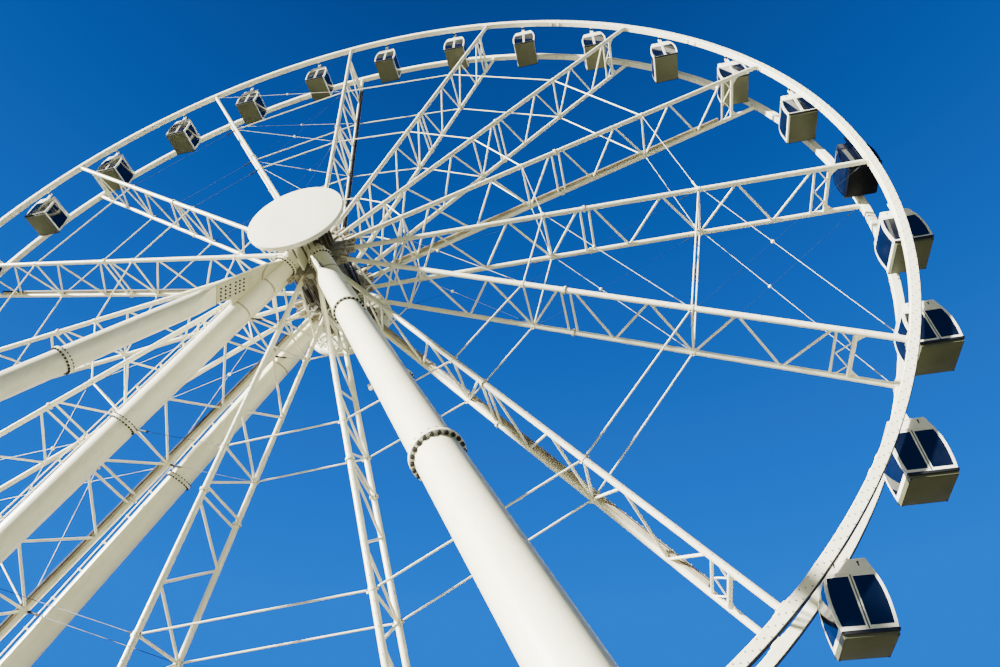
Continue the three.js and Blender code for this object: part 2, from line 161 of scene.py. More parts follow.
def gelcoat(name, base, faded, roughness=0.22, coat=0.4, shine=0.5):
    """Moulded composite with a polished gelcoat: even colour, faint print of the mould, glossy coat."""
    material, tree, spot = blank_material(name)
    # the sun fades it in patches of about 400 mm
    fading = add_node(tree, "TexNoise", {"Scale": 2.6, "Detail": 4.0}, spot)
    surface = two_tone(tree, 0.35, 0.75, fading, base, faded)
    # the weave of the laminate prints through as waves of about 60 mm
    waves = add_node(tree, "TexNoise", {"Scale": 16.0, "Detail": 1.0}, spot)
    bump = add_node(tree, "Bump", {"Strength": 0.06, "Distance": 0.006}, {"Height": (waves, 0)})
    limits = {TO_LOW: roughness - 0.05, TO_HIGH: roughness + 0.1}
    gloss = add_node(tree, "MapRange", limits, {"Value": (fading, 0)})
    even = {"IOR": 1.5, "Specular IOR Level": shine, "Coat Weight": coat, "Coat Roughness": 0.12}
    close_material(tree, even, surface, gloss, bump)
    return material


def tinted_glass(name, tint, dust):
    """Laminated solar glass: deep blue, nearly opaque from outside, a little dust on the pane."""
    material, tree, spot = blank_material(name)
    # dust dries on the pane in patches of about 330 mm
    film = add_node(tree, "TexNoise", {"Scale": 3.0, "Detail": 5.0}, spot)
    surface = two_tone(tree, 0.4, 0.8, film, tint, dust, 0.35)
    gloss = add_node(tree, "MapRange", {TO_LOW: 0.02, TO_HIGH: 0.09}, {"Value": (film, 0)})
    even = {"IOR": 1.52, "Transmission Weight": 0.15, "Specular IOR Level": 0.3}
    close_material(tree, even, surface, gloss)
    return material


def rubber(name, base, worn):
    """Extruded EPDM: near black, matt, greyed by dust."""
    material, tree, spot = blank_material(name)
    # dust sticks in patches of about 110 mm
    dust = add_node(tree, "TexNoise", {"Scale": 9.0, "Detail": 6.0}, spot)
    surface = two_tone(tree, 0.45, 0.8, dust, base, worn)
    close_material(tree, {"IOR": 1.5, "Roughness": 0.6}, surface)
    return material


def bare_steel(name, base, stained, roughness=0.45, metallic=1.0, grain=40.0):
    """Zinc-coated or machined steel: metallic, with stains and the spangle of the coating."""
    material, tree, spot = blank_material(name)
    # grain counts the spangles or strands in a metre, which are 11 to 50 mm each; stains are about 200 mm
    spangle = add_node(tree, "TexVoronoi", {"Scale": grain}, spot)
    stain = add_node(tree, "TexNoise", {"Scale": 5.0, "Detail": 6.0}, spot)
    surface = two_tone(tree, 0.4, 0.75, stain, base, stained)
    limits = {TO_LOW: roughness - 0.08, TO_HIGH: roughness + 0.12}
    gloss = add_node(tree, "MapRange", limits, {"Value": (spangle, 0)})
    close_material(tree, {"Metallic": metallic}, surface, gloss)
    return material


def chequer_plate(name, base, stained):
    """Galvanised tread plate: raised lozenges at a 60 mm pitch, drawn in the bump."""
    material, tree, spot = blank_material(name)
    diagonal = {"Rotation": (0, 0, radians(45)), "Scale": (1, 2.6, 1)}
    turned = {"Vector": (add_node(tree, "Mapping", diagonal, spot), 0)}
    lozenges = add_node(tree, "TexVoronoi", {"Scale": 17.0, "Randomness": 0.0}, turned)
    limits = {FROM_LOW: 0.25, FROM_HIGH: 0.45, TO_LOW: 1.0, TO_HIGH: 0.0}
    raised = add_node(tree, "MapRange", limits, {"Value": (lozenges, 0)})
    # the zinc dulls in patches of about 400 mm
    stain = add_node(tree, "TexNoise", {"Scale": 2.5, "Detail": 7.0}, spot)
    surface = two_tone(tree, 0.0, 1.0, stain, base, stained)
    bump = add_node(tree, "Bump", {"Strength": 0.6, "Distance": 0.004}, {"Height": (raised, 0)})
    gloss = add_node(tree, "MapRange", {TO_LOW: 0.35, TO_HIGH: 0.6}, {"Value": (stain, 0)})
    close_material(tree, {"Metallic": 0.2}, surface, gloss, bump)
    return material


# Cream enamel, bright and slightly yellow in the sun, streaked where rain runs off the steel
STEEL_CREAM = enamel("sprayed_enamel_cream", "#f5f2da", "#e9e6c8", "#b3ab88", 0.36, 0.3, 0.35)
TUBE_CREAM = enamel("sprayed_enamel_cream_tube", "#f7f5de", "#efecd0", "#bdb591", 0.33, 0.22, 0.0)
RIM_CREAM = enamel("sprayed_enamel_cream_box_section", "#f6f3de", "#ece8cf", "#b0a888", 0.36, 0.25, 0.15)
HEAD_CREAM = enamel("sprayed_enamel_white_plate", "#f7f5e0", "#efecd4", "#b5ad8e", 0.36, 0.2, 0.1)
# Painted shade: cream darkened and greened to how the left knee plate looks in the shade of the head
PLATE_SHADE_CREAM = enamel("sprayed_enamel_cream_painted_shade_plate", "#cccbae", "#bcbb9b", "#8d876a", 0.42, 0.4, 0.1)
# Greys and browns of the turning machinery and its brackets, darkened as painted shade where the hub lies in
# shadow, with some oily grime; trays and weld seams with painted shade as well
HUB_GREY_SHADED = enamel("machinery_enamel_grey_grime_and_shade", "#a9a698", "#8d8a7c", "#5d574b", 0.45, 0.5, 0.5)
CASING_BROWN_SHADED = enamel("machinery_enamel_brown_painted_shade", "#554b3c", "#40382c", "#241f19", 0.55, 0.5, 0.4)
BRACKET_BROWN_SHADED = enamel("sprayed_enamel_bracket_grime_and_shade", "#a89f88", "#857a64", "#4e4335", 0.5, 0.6, 0.5)
# Painted shade: beige for how the tray looks in shade on the far chords
TRAY_SHADED_BEIGE = enamel("perforated_zinc_tray_painted_shade", "#b5aa92", "#9c917a", "#6d624c", 0.5, 0.4, 0.2)
# Painted shadow lines: brown on seams, beads and plate steps where thin shadows fall
SEAM_SHADE_BROWN = enamel("weld_seam_painted_shade", "#b3a988", "#9a9075", "#6a5f48", 0.5, 0.4, 0.2)
BASE_BEIGE = enamel("brushed_enamel_beige_beam", "#c2bba3", "#aca58d", "#7b735f", 0.5, 0.5, 0.4)
EDGE_YELLOW = enamel("safety_yellow_edge_paint", "#e0b32a", "#c79d2c", "#6b5a30", 0.5, 0.5, 0.2)
# Satin powder coat under the cabins, without the gloss of the shells above it; the olive is darkened below
# the panel's own beige-olive as painted shade, as the undersides lie in shade
UNDER_OLIVE_SHADED = enamel("powder_coat_olive_floor_panel_painted_shade", "#55573f", "#4a4c36", "#33351f", 0.5, 0.2, 0.0, 0.0)
UNDER_NAVY = enamel("powder_coat_navy_floor_panel", "#04060f", "#060914", "#0b0e18", 0.5, 0.2, 0.0, 0.0, 0.1)
# Smooth shells and lenses, glossy and even
SHELL_WHITE = gelcoat("gelcoat_white_moulded", "#f6f5ea", "#e8e7d6")
SHELL_NAVY = gelcoat("gelcoat_navy_moulded", "#03081c", "#060c24", 0.2, 0.05, 0.12)
LENS_CLEAR = gelcoat("polycarbonate_light_lens", "#a9a697", "#77776e", 0.15)
GLASS_BLUE = tinted_glass("laminated_glass_blue_tint", "#070c1c", "#20263a")
RUBBER_BLACK = rubber("extruded_epdm_black", "#050505", "#131313")
# Bare metal, from near-black bolts to bright wire; the two wire finishes are one zinc wire, painted lit as a
# highlight and dark as shade
BOLT_DARK = bare_steel("hot_dip_zinc_bolt_dulled", "#201c18", "#13110f", 0.6, 0.3, 60.0)
CABLE_ZINC_LIT = bare_steel("stranded_zinc_wire_painted_highlight", "#dcdbd2", "#c3c1b6", 0.5, 0.1, 20.0)
CABLE_SHADED = bare_steel("stranded_wire_painted_shade", "#3a4148", "#23272c", 0.55, 0.4, 90.0)
SHAFT_STEEL = bare_steel("machined_shaft_steel", "#8f8d88", "#5c574f", 0.3, 1.0, 30.0)
RAIL_ZINC = bare_steel("galvanised_handrail_tube", "#c3c6c8", "#8f9496", 0.5, 0.3, 25.0)
DECK_PLATE = chequer_plate("galvanised_tread_plate", "#a4a6a5", "#7d7f7d")


def paint_new(faces, index):
    for face in faces:
        face.material_index = index
        face.smooth = True


def faces_of(verts):
    return {face for vert in verts for face in vert.link_faces}


def tube(bm, start, end, radius, sides=16, index=0, end_radius=None):
    """Closed round bar or cone between two points."""
    start, end = Vector(start), Vector(end)
    along = end - start
    turn = along.to_track_quat("Z", "Y").to_matrix().to_4x4()
    last = radius if end_radius is None else end_radius
    place = Matrix.Translation((start + end) / 2) @ turn
    made = bmesh.ops.create_cone(
        bm, cap_ends=True, segments=sides, radius1=radius, radius2=last, depth=along.length, matrix=place
    )
    paint_new(faces_of(made["verts"]), index)


def sleeve(bm, origin, axis, low, high, radius, sides=16, index=0):
    """Round bar between two distances from an origin along an axis."""
    tube(bm, origin + axis * low, origin + axis * high, radius, sides, index)


def block(bm, low, high, index=0, bevel=0.0):
    """Box between two opposite corners, with its edges rounded where asked."""
    low, high = Vector(low), Vector(high)
    size = Matrix.Diagonal((*(abs(part) for part in high - low), 1))
    made = bmesh.ops.create_cube(bm, size=1, matrix=Matrix.Translation((low + high) / 2) @ size)
    paint_new(faces_of(made["verts"]), index)
    if bevel:
        edges = list({edge for vert in made["verts"] for edge in vert.link_edges})
        bmesh.ops.bevel(bm, geom=edges, offset=bevel, segments=2, profile=0.5, affect="EDGES", material=-1)


def ball(bm, centre, radius, index=0):
    made = bmesh.ops.create_icosphere(bm, subdivisions=2, radius=radius, matrix=Matrix.Translation(centre))
    paint_new(faces_of(made["verts"]), index)


def pushed(bm, faces, shift, index):
    """Gives flat faces a thickness along a vector."""
    made = bmesh.ops.extrude_face_region(bm, geom=faces, use_keep_orig=True)
    verts = [item for item in made["geom"] if isinstance(item, bmesh.types.BMVert)]
    bmesh.ops.translate(bm, verts=verts, vec=Vector(shift))
    paint_new(faces_of(verts) | set(faces), index)


def prism(bm, points, shift, index=0):
    """Flat outline pushed along a vector into a closed plate."""
    face = bm.faces.new([bm.verts.new(point) for point in points])
    pushed(bm, [face], shift, index)


def loop_edges(bm, points):
    verts = [bm.verts.new(point) for point in points]
    return [bm.edges.new((verts[i], verts[(i + 1) % len(verts)])) for i in range(len(verts))]


def ring_plate(bm, outer, inner, shift, index=0):
    """Plate between an outer and an inner outline of as many points, pushed along a vector."""
    edges = loop_edges(bm, outer) + loop_edges(bm, inner)
    pushed(bm, bmesh.ops.bridge_loops(bm, edges=edges)["faces"], shift, index)


def loft(bm, rings, index=0):
    """Closed skin through rings of as many points each."""
    loops = [loop_edges(bm, ring) for ring in rings]
    for low, high in zip(loops, loops[1:]):
        paint_new(bmesh.ops.bridge_loops(bm, edges=low + high)["faces"], index)
    for loop in (loops[0], loops[-1]):
        paint_new(bmesh.ops.contextual_create(bm, geom=loop)["faces"], index)


def turned_ring(bm, profile, centre, axis, across, steps, index=0):
    """Closed profile of (radius, height) pairs spun about an axis through a centre."""
    axis, across = Vector(axis).normalized(), Vector(across).normalized()
    edges = loop_edges(bm, [Vector(centre) + across * r + axis * h for r, h in profile])
    verts = list({vert for edge in edges for vert in edge.verts})
    before = set(bm.faces)
    bmesh.ops.spin(bm, geom=verts + edges, cent=centre, axis=axis, angle=2 * pi, steps=steps, use_merge=True)
    paint_new(set(bm.faces) - before, index)


def box_section(inner, outer, low, high):
    """Rectangle of (radius, height) pairs for a turned ring."""
    return [(inner, low), (outer, low), (outer, high), (inner, high)]


def spread(low, high, count):
    return [low + (high - low) * step / count for step in range(count + 1)]


def mirrored(half):
    return half + [(-x, other) for x, other in reversed(half)]


def bolt_circle(bm, centre, axis, pitch_r, count, head_r, head_h, index=0, sides=6):
    """Ring of hexagon heads standing on a face."""
    axis = Vector(axis).normalized()
    across = axis.orthogonal().normalized()
    for step in range(count):
        arm = Matrix.Rotation(2 * pi * step / count, 3, axis) @ across * pitch_r
        sleeve(bm, Vector(centre) + arm, axis, 0, head_h, head_r, sides, index)


def to_mesh(bm, name, angle=35):
    bmesh.ops.recalc_face_normals(bm, faces=bm.faces)
    mesh = bpy.data.meshes.new(name)
    bm.to_mesh(mesh)
    bm.free()
    mesh.set_sharp_from_angle(angle=radians(angle))
    return mesh


def around_axle(mesh, angles):
    """Copies of a mesh turned about the axle, joined into one."""
    bm = bmesh.new()
    for angle in angles:
        copy = mesh.copy()
        copy.transform(Matrix.Rotation(-angle, 4, "Y"))
        bm.from_mesh(copy)
        bpy.data.meshes.remove(copy)
    joined = bpy.data.meshes.new(mesh.name + "_ring")
    bm.to_mesh(joined)
    bm.free()
    return joined


def piece(mesh, name, materials, body, stands_for=()):
    obj = bpy.data.objects.new(name, mesh)
    bpy.context.scene.collection.objects.link(obj)
    for material in materials:
        mesh.materials.append(material)
    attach(obj, body)
    if stands_for:
        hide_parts(*stands_for)
    return obj


def on_wheel(angle):
    """Turn from a spoke's own frame, X outwards, to its place on the wheel."""
    return Matrix.Translation(HUB) @ Matrix.Rotation(-angle, 4, "Y")


def wheel_piece(mesh, name, materials, spoke=0, stands_for=()):
    """Piece on the wheel, drawn in the frame of the spoke with this number."""
    mesh.transform(on_wheel(REST - SPOKE_STEP * spoke))
    piece(mesh, name, materials, "wheel", stands_for)


# Spokes, in their own frame with X outwards along the spoke and the axle through the origin
def chord_y(radius):
    return HUB_RING_Y + (RING_Y - HUB_RING_Y) * (radius - CHORD_START) / (RIM_IN - CHORD_START)


def at_chord(radius, side):
    return Vector((radius, side * chord_y(radius), 0))


def spoke_mesh():
    """Flat truss: two chords, posts, zigzag braces and close lacing before the rim. Slots: paint, bolt."""
    bm = bmesh.new()
    for side in (-1, 1):
        chord_pieces(bm, side)
        end_gusset(bm, side)
    posts = (*STRUT_RADII.values(), JOINT_RADIUS - JOINT_POST, JOINT_RADIUS + JOINT_POST, LACED_FROM)
    for radius in posts:
        tube(bm, at_chord(radius, -1), at_chord(radius, 1), BRACE_R, 10)
    tube(bm, at_chord(END_POST, -1), at_chord(END_POST, 1), 0.042, 12)
    for run in BRACE_RUNS:
        brace_run(bm, run, BRACE_R)
    brace_run(bm, LACING, LACE_R)
    return to_mesh(bm, "spoke")


def brace_run(bm, nodes, radius):
    for (r0, s0), (r1, s1) in zip(nodes, nodes[1:]):
        tube(bm, at_chord(r0, s0), at_chord(r1, s1), radius, 10)


def chord_pieces(bm, side):
    """One chord in two bolted lengths with its end plate at the rim."""
    gap, thick, splice_r, bolts_r = 0.004, 0.018, 0.088, 0.074
    tube(bm, at_chord(CHORD_START, side), at_chord(JOINT_RADIUS - gap / 2, side), CHORD_R, 20)
    tube(bm, at_chord(JOINT_RADIUS + gap / 2, side), at_chord(RIM_IN - SEAT, side), CHORD_R, 20)
    for radius in (JOINT_RADIUS - gap - thick, JOINT_RADIUS + gap):
        tube(bm, at_chord(radius, side), at_chord(radius + thick, side), splice_r, 24)
    for way in (1, -1):
        face = at_chord(JOINT_RADIUS + way * (gap + thick), side)
        bolt_circle(bm, face, (way, 0, 0), bolts_r, 8, 0.008, 0.012, 1)
    y, plate_x = side * RING_Y, RIM_IN - 0.03
    block(bm, (plate_x, y - 0.075, -0.1), (RIM_IN - SEAT, y + 0.075, 0.1), 0, 0.004)
    for corner in (-0.075, 0.075):
        for across in (-0.052, 0.052):
            tube(bm, (plate_x - 0.014, y + across, corner), (plate_x, y + across, corner), 0.011, 6, 1)


def end_gusset(bm, side):
    """Plate in the corner beyond the last post, its free edge a quarter circle."""
    corner, reach = chord_y(END_POST), 0.42
    arc = [radians(90) * step / 8 for step in range(9)]
    outline = [(END_POST, corner)]
    outline += [(END_POST + reach * (1 - sin(a)), corner - reach * (1 - cos(a))) for a in arc]
    prism(bm, [Vector((x, side * y, -0.01)) for x, y in outline], (0, 0, 0.02))


def chord_lights_mesh():
    """Small lenses in a row along both chords of a spoke."""
    bm = bmesh.new()
    first, pitch, count = 2.9, 0.22, 46
    for side in (-1, 1):
        for step in range(count):
            radius = first + step * pitch
            if abs(radius - JOINT_RADIUS) > 0.1:
                y = side * (chord_y(radius) + CHORD_R - 0.002)
                tube(bm, (radius, y, 0), (radius, y + side * 0.008, 0), 0.009, 6)
    return to_mesh(bm, "chord_lights")


def cable_tray_mesh(flank):
    """Channel on the inner flank of the far chord with three cables held by straps. Slots: tray, cable."""
    bm = bmesh.new()
    start, end, strap_pitch = 1.75, 12.25, 0.13

    def at(radius, inward, sideways):
        return at_chord(radius, 1) + Vector((0, -inward, flank * sideways))

    channel = [(0.046, 0.032), (0.112, 0.032), (0.112, 0.086), (0.046, 0.086)]
    loft(bm, [[at(radius, *corner) for corner in channel] for radius in (start, end)])
    for inward, sideways, cable_r in ((0.126, 0.050, 0.016), (0.126, 0.080, 0.016), (0.072, 0.114, 0.028)):
        tube(bm, at(start, inward, sideways), at(end, inward, sideways), cable_r, 8, 1)
    for step in range(int((end - start) / strap_pitch)):
        radius = start + strap_pitch * (step + 0.5)
        block(bm, at(radius, 0.060, 0.030), at(radius + 0.020, 0.084, 0.150), 0)
    return to_mesh(bm, "cable_tray")


def place_spokes():
    lattice, lights = spoke_mesh(), chord_lights_mesh()
    trays = {flank: cable_tray_mesh(flank) for flank in (-1, 1)}
    for index in range(SPOKES):
        name = f"spoke_{index + 1:02d}"
        wheel_piece(lattice.copy(), f"{name}_lattice", [STEEL_CREAM, BOLT_DARK], index, stands_for=[name])
        wheel_piece(lights.copy(), f"{name}_lights", [LENS_CLEAR], index)
        if index in TRAY_SPOKES:
            flank = TRAY_SPOKES[index]
            materials = [TRAY_SHADED_BEIGE, RUBBER_BLACK if flank < 0 else BRACKET_BROWN_SHADED]
            wheel_piece(trays[flank].copy(), f"{name}_cable_tray", materials, index)


# Struts between the spokes, in the frame of the first of the two spokes
def to_next_spoke(radius, side):
    """Start and end of a line from one spoke to the next, and the way along it."""
    start = at_chord(radius, side)
    end = Matrix.Rotation(SPOKE_STEP, 3, "Y") @ start
    return start, end, (end - start).normalized()


def strut_mesh(radius, side):
    """Bar to the next spoke with necked ends, fork plates and their dark pins."""
    bm = bmesh.new()
    start, end, along = to_next_spoke(radius, side)
    full, neck, neck_r = 0.15, 0.09, 0.013
    tube(bm, start + along * full, end - along * full, STRUT_R, 12)
    for foot, way in ((start, along), (end, -along)):
        tube(bm, foot + way * neck, foot + way * full, neck_r, 12, 0, STRUT_R)
        sleeve(bm, foot, way, 0.058, neck, neck_r, 10)
        sleeve(bm, foot + way * 0.082, AXLE, -0.026, 0.026, 0.011, 8, 1)
        for cheek in (-0.017, 0.017):
            sleeve(bm, foot + AXLE * cheek, way, 0.052, 0.098, 0.006, 6)
    return to_mesh(bm, "strut")


def clamp_mesh(radius, side):
    """Collar round a chord with an ear on each flank, where the struts and stays are pinned."""
    bm = bmesh.new()
    centre = at_chord(radius, side)
    turned_ring(bm, box_section(CHORD_R, 0.071, -0.034, 0.034), centre, OUTWARD, AXLE, 24)
    for flank in (-1, 1):
        low = centre + Vector((-0.036, -0.007, 0.062 * flank))
        high = centre + Vector((0.036, 0.007, 0.104 * flank))
        block(bm, low, high, 0, 0.004)
    return to_mesh(bm, "strut_clamp")


def tie_wire_mesh(radius, side):
    """Taut wire to the next spoke in place of the strut, with its turnbuckle at the far end."""
    bm = bmesh.new()
    start, end, along = to_next_spoke(radius, side)
    tube(bm, start + along * 0.05, end - along * 0.05, WIRE_R, 6)
    sleeve(bm, end, along, -0.40, -0.07, 0.020, 10, 1)
    for nut in (0.12, 0.34):
        sleeve(bm, end, along, -nut - 0.02, 0.02 - nut, 0.028, 8, 1)
    sleeve(bm, start, along, 0.06, 0.20, 0.014, 8, 1)
    return to_mesh(bm, "tie_wire")


def place_struts():
    bays = [angle for index, angle in enumerate(SPOKE_TURNS) if index not in WIRE_BAYS]
    for row, side in (("near", -1), ("far", 1)):
        for level, radius in STRUT_RADII.items():
            name = f"{row}_{level}_struts"
            bars = around_axle(strut_mesh(radius, side), bays)
            stands_for = [] if level == "inner" else [name]
            wheel_piece(bars, f"{name}_bars", [STEEL_CREAM, BOLT_DARK], stands_for=stands_for)
            wheel_piece(around_axle(clamp_mesh(radius, side), SPOKE_TURNS), f"{name}_collars", [STEEL_CREAM])
            for bay in WIRE_BAYS:
                # bright ties are painted as a highlight, the rest dark as painted shade, their turnbuckles
                # too
                materials = [CABLE_ZINC_LIT, CABLE_ZINC_LIT] if bay in BRIGHT_TIES else [CABLE_SHADED, RUBBER_BLACK]
                wheel_piece(tie_wire_mesh(radius, side), f"{row}_{level}_wire_{bay + 1:02d}", materials, bay)


def stay_end(radius, side, spoke):
    """Pin of a stay on spoke 0 or 1 of a bay, seen in the frame of the first one."""
    flank = 1 if spoke == 0 else -1
    point = at_chord(radius, side) + Vector((0, 0, -0.066 * flank))
    return Matrix.Rotation(SPOKE_STEP * spoke, 3, "Y") @ point


def stays_mesh(bright):
    """Crossed wires of one bay with a white ball where they cross. Slots: bright wire with a painted
    highlight, dark wire with painted shade, paint.
    """
    bm = bmesh.new()
    levels = (*STRUT_RADII.values(), RIM_IN)
    for side in (-1, 1):
        for low, high in zip(levels, levels[1:]):
            low, high = low + 0.1, high - 0.12
            for first in (0, 1):
                ends = stay_end(low, side, first), stay_end(high, side, 1 - first)
                stay(bm, *ends, 0 if first in bright else 1)
            ball(bm, crossing(low, high, side), BALL_R, 2)
    return to_mesh(bm, "stays")


def stay(bm, start, end, index):
    """Wire with a turnbuckle at its outer end and a socket at its inner end."""
    along = (end - start).normalized()
    tube(bm, start, end, STAY_R if index == 0 else STAY_R * 0.7, 6, index)
    sleeve(bm, end, along, -0.36, -0.2, 0.012, 8, 1)
    sleeve(bm, start, along, 0.06, 0.14, 0.010, 8, 1)


def crossing(low, high, side):
    """Where the two stays of a panel cross, on the middle line of the bay."""
    start, end = stay_end(low, side, 0), stay_end(high, side, 1)
    half = Vector((cos(SPOKE_STEP / 2), 0, -sin(SPOKE_STEP / 2)))
    across = Vector((sin(SPOKE_STEP / 2), 0, cos(SPOKE_STEP / 2)))
    share = start.dot(across) / (start.dot(across) - end.dot(across))
    point = start.lerp(end, share)
    return half * point.dot(half) + Vector((0, point.y, 0))


def place_stays():
    paints = [CABLE_ZINC_LIT, CABLE_SHADED, STEEL_CREAM]
    for bay, bright in BRIGHT_STAYS.items():
        wheel_piece(stays_mesh(bright), f"bay_{bay + 1:02d}_stays", paints, bay)


# Turning part of the hub, in the same frame as the spokes. Faces of a flange's web and of its rim along Y
WEB_IN, WEB_OUT, BAND_IN, BAND_OUT = 0.66, 0.70, 0.602, 0.750
SHAFT_R, DRUM_R, BAND_R = 0.249, 0.50, 0.86


def hub_core_mesh():
    """Shaft, drum and the two bolted flanges. Slots: grey paint, brown casing, bolt, machined steel."""
    bm = bmesh.new()
    middle = Vector((0, 0, 0))
    sleeve(bm, middle, AXLE, -1.639, 1.639, SHAFT_R, 64, 3)
    drum = [(0.25, -0.6), (DRUM_R, -0.6), (0.52, -0.58), (0.52, 0.58), (DRUM_R, 0.6), (0.25, 0.6)]
    # the drum takes the brown that paints the shade inside the hub
    turned_ring(bm, drum, middle, AXLE, OUTWARD, 60, 1)
    web = box_section(SHAFT_R, BAND_R + 0.005, WEB_IN, WEB_OUT)
    band = box_section(BAND_R, 0.899, BAND_IN, BAND_OUT)
    boss = box_section(SHAFT_R, 0.36, BAND_IN, BAND_OUT)
    for side in (-1, 1):
        for profile in (web, band, boss):
            turned_ring(bm, profile, middle, AXLE * side, OUTWARD, 60, 0)
        bolt_circle(bm, AXLE * side * WEB_OUT, AXLE * side, 0.44, 24, 0.016, 0.016, 2)
        bolt_circle(bm, AXLE * side * WEB_IN, AXLE * -side, 0.60, 30, 0.014, 0.014, 2)
    return to_mesh(bm, "hub_core")


def hub_sector_mesh():
    """What repeats on the hub for every spoke: chord brackets, flange ribs, tie rod, and on the drum a rib,
    a box, a cylinder with its rod and two pipes. Slots: grey paint, brown bracket, bolt, machined steel.
    """
    bm = bmesh.new()
    for side in (-1, 1):
        y0, y1 = side * 0.606, side * 0.764
        for cheek in (-1, 1):
            bracket = [(0.80, 0.066), (1.12, 0.066), (1.12, 0.088), (0.86, 0.105), (0.80, 0.105)]
            prism(bm, [Vector((x, y0, cheek * z)) for x, z in bracket], (0, y1 - y0, 0), 1)
            for x in (0.95, 1.05):
                sleeve(bm, Vector((x, side * HUB_RING_Y, 0)), UP * cheek, 0.085, 0.108, 0.018, 6, 2)
        block(bm, (0.37, side * WEB_OUT, -0.012), (BAND_R, side * 0.742, 0.012), 0)
        block(bm, (0.53, side * 0.606, -0.012), (BAND_R, side * WEB_IN, 0.012), 0)
    block(bm, (DRUM_R, -0.59, -0.02), (0.60, 0.59, 0.02), 1, 0.004)
    block(bm, (0.52, -0.44, 0.035), (0.68, -0.16, 0.185), 1, 0.01)
    block(bm, (0.68, -0.38, 0.06), (0.71, -0.22, 0.16), 3, 0.004)
    cylinder = Vector((0.64, 0, 0.10))
    sleeve(bm, cylinder, AXLE, 0.05, 0.50, 0.045, 16, 2)
    sleeve(bm, cylinder, AXLE, -0.10, 0.05, 0.022, 12, 3)
    for lane in (-0.05, -0.09):
        sleeve(bm, Vector((0.78, 0, lane)), AXLE, -0.60, 0.60, 0.010, 8, 3)
    rod = Vector((0.74 * cos(SPOKE_STEP / 2), 0, 0.74 * sin(SPOKE_STEP / 2)))
    sleeve(bm, rod, AXLE, -WEB_IN, WEB_IN, 0.022, 12, 2)
    return to_mesh(bm, "hub_sector")


def hub_hoses_mesh():
    """Black cable loops from the drum out to the spokes that carry a tray."""
    bm = bmesh.new()
    for index in HOSE_SPOKES:
        turn = Matrix.Rotation(SPOKE_STEP * index, 3, "Y")
        for lane in (0.045, 0.075):
            last = None
            for share in spread(0, 1, 16):
                bend = Vector((0.54 + 1.42 * share, 0.30 + 0.36 * share, lane + 0.16 * sin(pi * share)))
                point = turn @ bend
                if last:
                    tube(bm, last, point, 0.014, 8)
                    ball(bm, point, 0.014)
                last = point
    return to_mesh(bm, "hub_hoses")


def cable_reel_mesh():
    """Dark cable reel between the chords of the spoke below the hub. Slots: casing, rubber, steel."""
    bm = bmesh.new()
    turn = Matrix.Rotation(SPOKE_STEP * HOSE_SPOKES[1], 3, "Y")
    centre, across = turn @ Vector((1.98, 0.36, 0.0)), turn @ OUTWARD
    for side in (-1, 1):
        # the reel's flanges take the brown that paints the shade inside the hub
        turned_ring(bm, box_section(0.05, 0.21, 0.07, 0.085), centre, AXLE * side, across, 32, 0)
    turned_ring(bm, box_section(0.05, 0.17, -0.07, 0.07), centre, AXLE, across, 32, 1)
    sleeve(bm, centre, AXLE, -0.12, 0.30, 0.045, 16, 2)
    return to_mesh(bm, "cable_reel")


def place_hub():
    sectors = around_axle(hub_sector_mesh(), SPOKE_TURNS)
    paints = [HUB_GREY_SHADED, CASING_BROWN_SHADED, BOLT_DARK, SHAFT_STEEL]
    wheel_piece(hub_core_mesh(), "hub_core", paints, 0, ["hub_spindle"])
    paints = [HUB_GREY_SHADED, BRACKET_BROWN_SHADED, BOLT_DARK, SHAFT_STEEL]
    wheel_piece(sectors, "hub_brackets", paints, 0)
    wheel_piece(hub_hoses_mesh(), "hub_hoses", [RUBBER_BLACK], 0)
    paints = [CASING_BROWN_SHADED, RUBBER_BLACK, SHAFT_STEEL]
    wheel_piece(cable_reel_mesh(), "hub_cable_reel", paints, 0)


# Rims, in the same frame as the spokes
def rim_mesh(side):
    """Rolled box section with a rubber drive band on its outer face. Slots: paint, rubber."""
    bm = bmesh.new()
    chamfer = 0.008
    edge = RIM_HALF - chamfer
    faces = ((RIM_IN, edge), (RIM_IN + chamfer, RIM_HALF), (RIM_OUT - chamfer, RIM_HALF), (RIM_OUT, edge))
    section = [*faces, *((radius, -y) for radius, y in reversed(faces))]
    centre = AXLE * side * RING_Y
    turned_ring(bm, section, centre, AXLE, OUTWARD, 240)
    band = box_section(RIM_OUT - 0.002, RIM_OUT + 0.008, -0.066, 0.066)
    turned_ring(bm, band, centre, AXLE, OUTWARD, 240, 1)
    return to_mesh(bm, "rim")


def rim_sector_mesh(side):
    """One cabin's share of a rim: pivot pin, bolted strap, rows of lenses. Slots: paint, bolt, lens."""
    bm = bmesh.new()
    inner_y = side * (RING_Y - RIM_HALF)
    pin = Vector((cos(CABIN_STEP / 2), 0, sin(CABIN_STEP / 2))) * PIVOT_R
    for radius, reach, sides, index in ((0.026, 0.386, 16, 1), (0.056, 0.512, 20, 0), (0.04, 0.50, 16, 1)):
        sleeve(bm, pin, AXLE, inner_y, side * reach, radius, sides, index)
    y = side * RING_Y
    strap_x = RIM_IN - 0.014
    for low, high in ((-0.19, -0.11), (0.11, 0.19)):
        block(bm, (strap_x, y - 0.06, low), (RIM_IN, y + 0.06, high), 0, 0.003)
    for z in (-0.17, -0.13, 0.13, 0.17):
        for across in (-0.04, 0.04):
            sleeve(bm, Vector((strap_x, y + across, z)), OUTWARD, -0.010, 0, 0.008, 6, 1)
    rim_lenses(bm, side)
    return to_mesh(bm, "rim_sector")


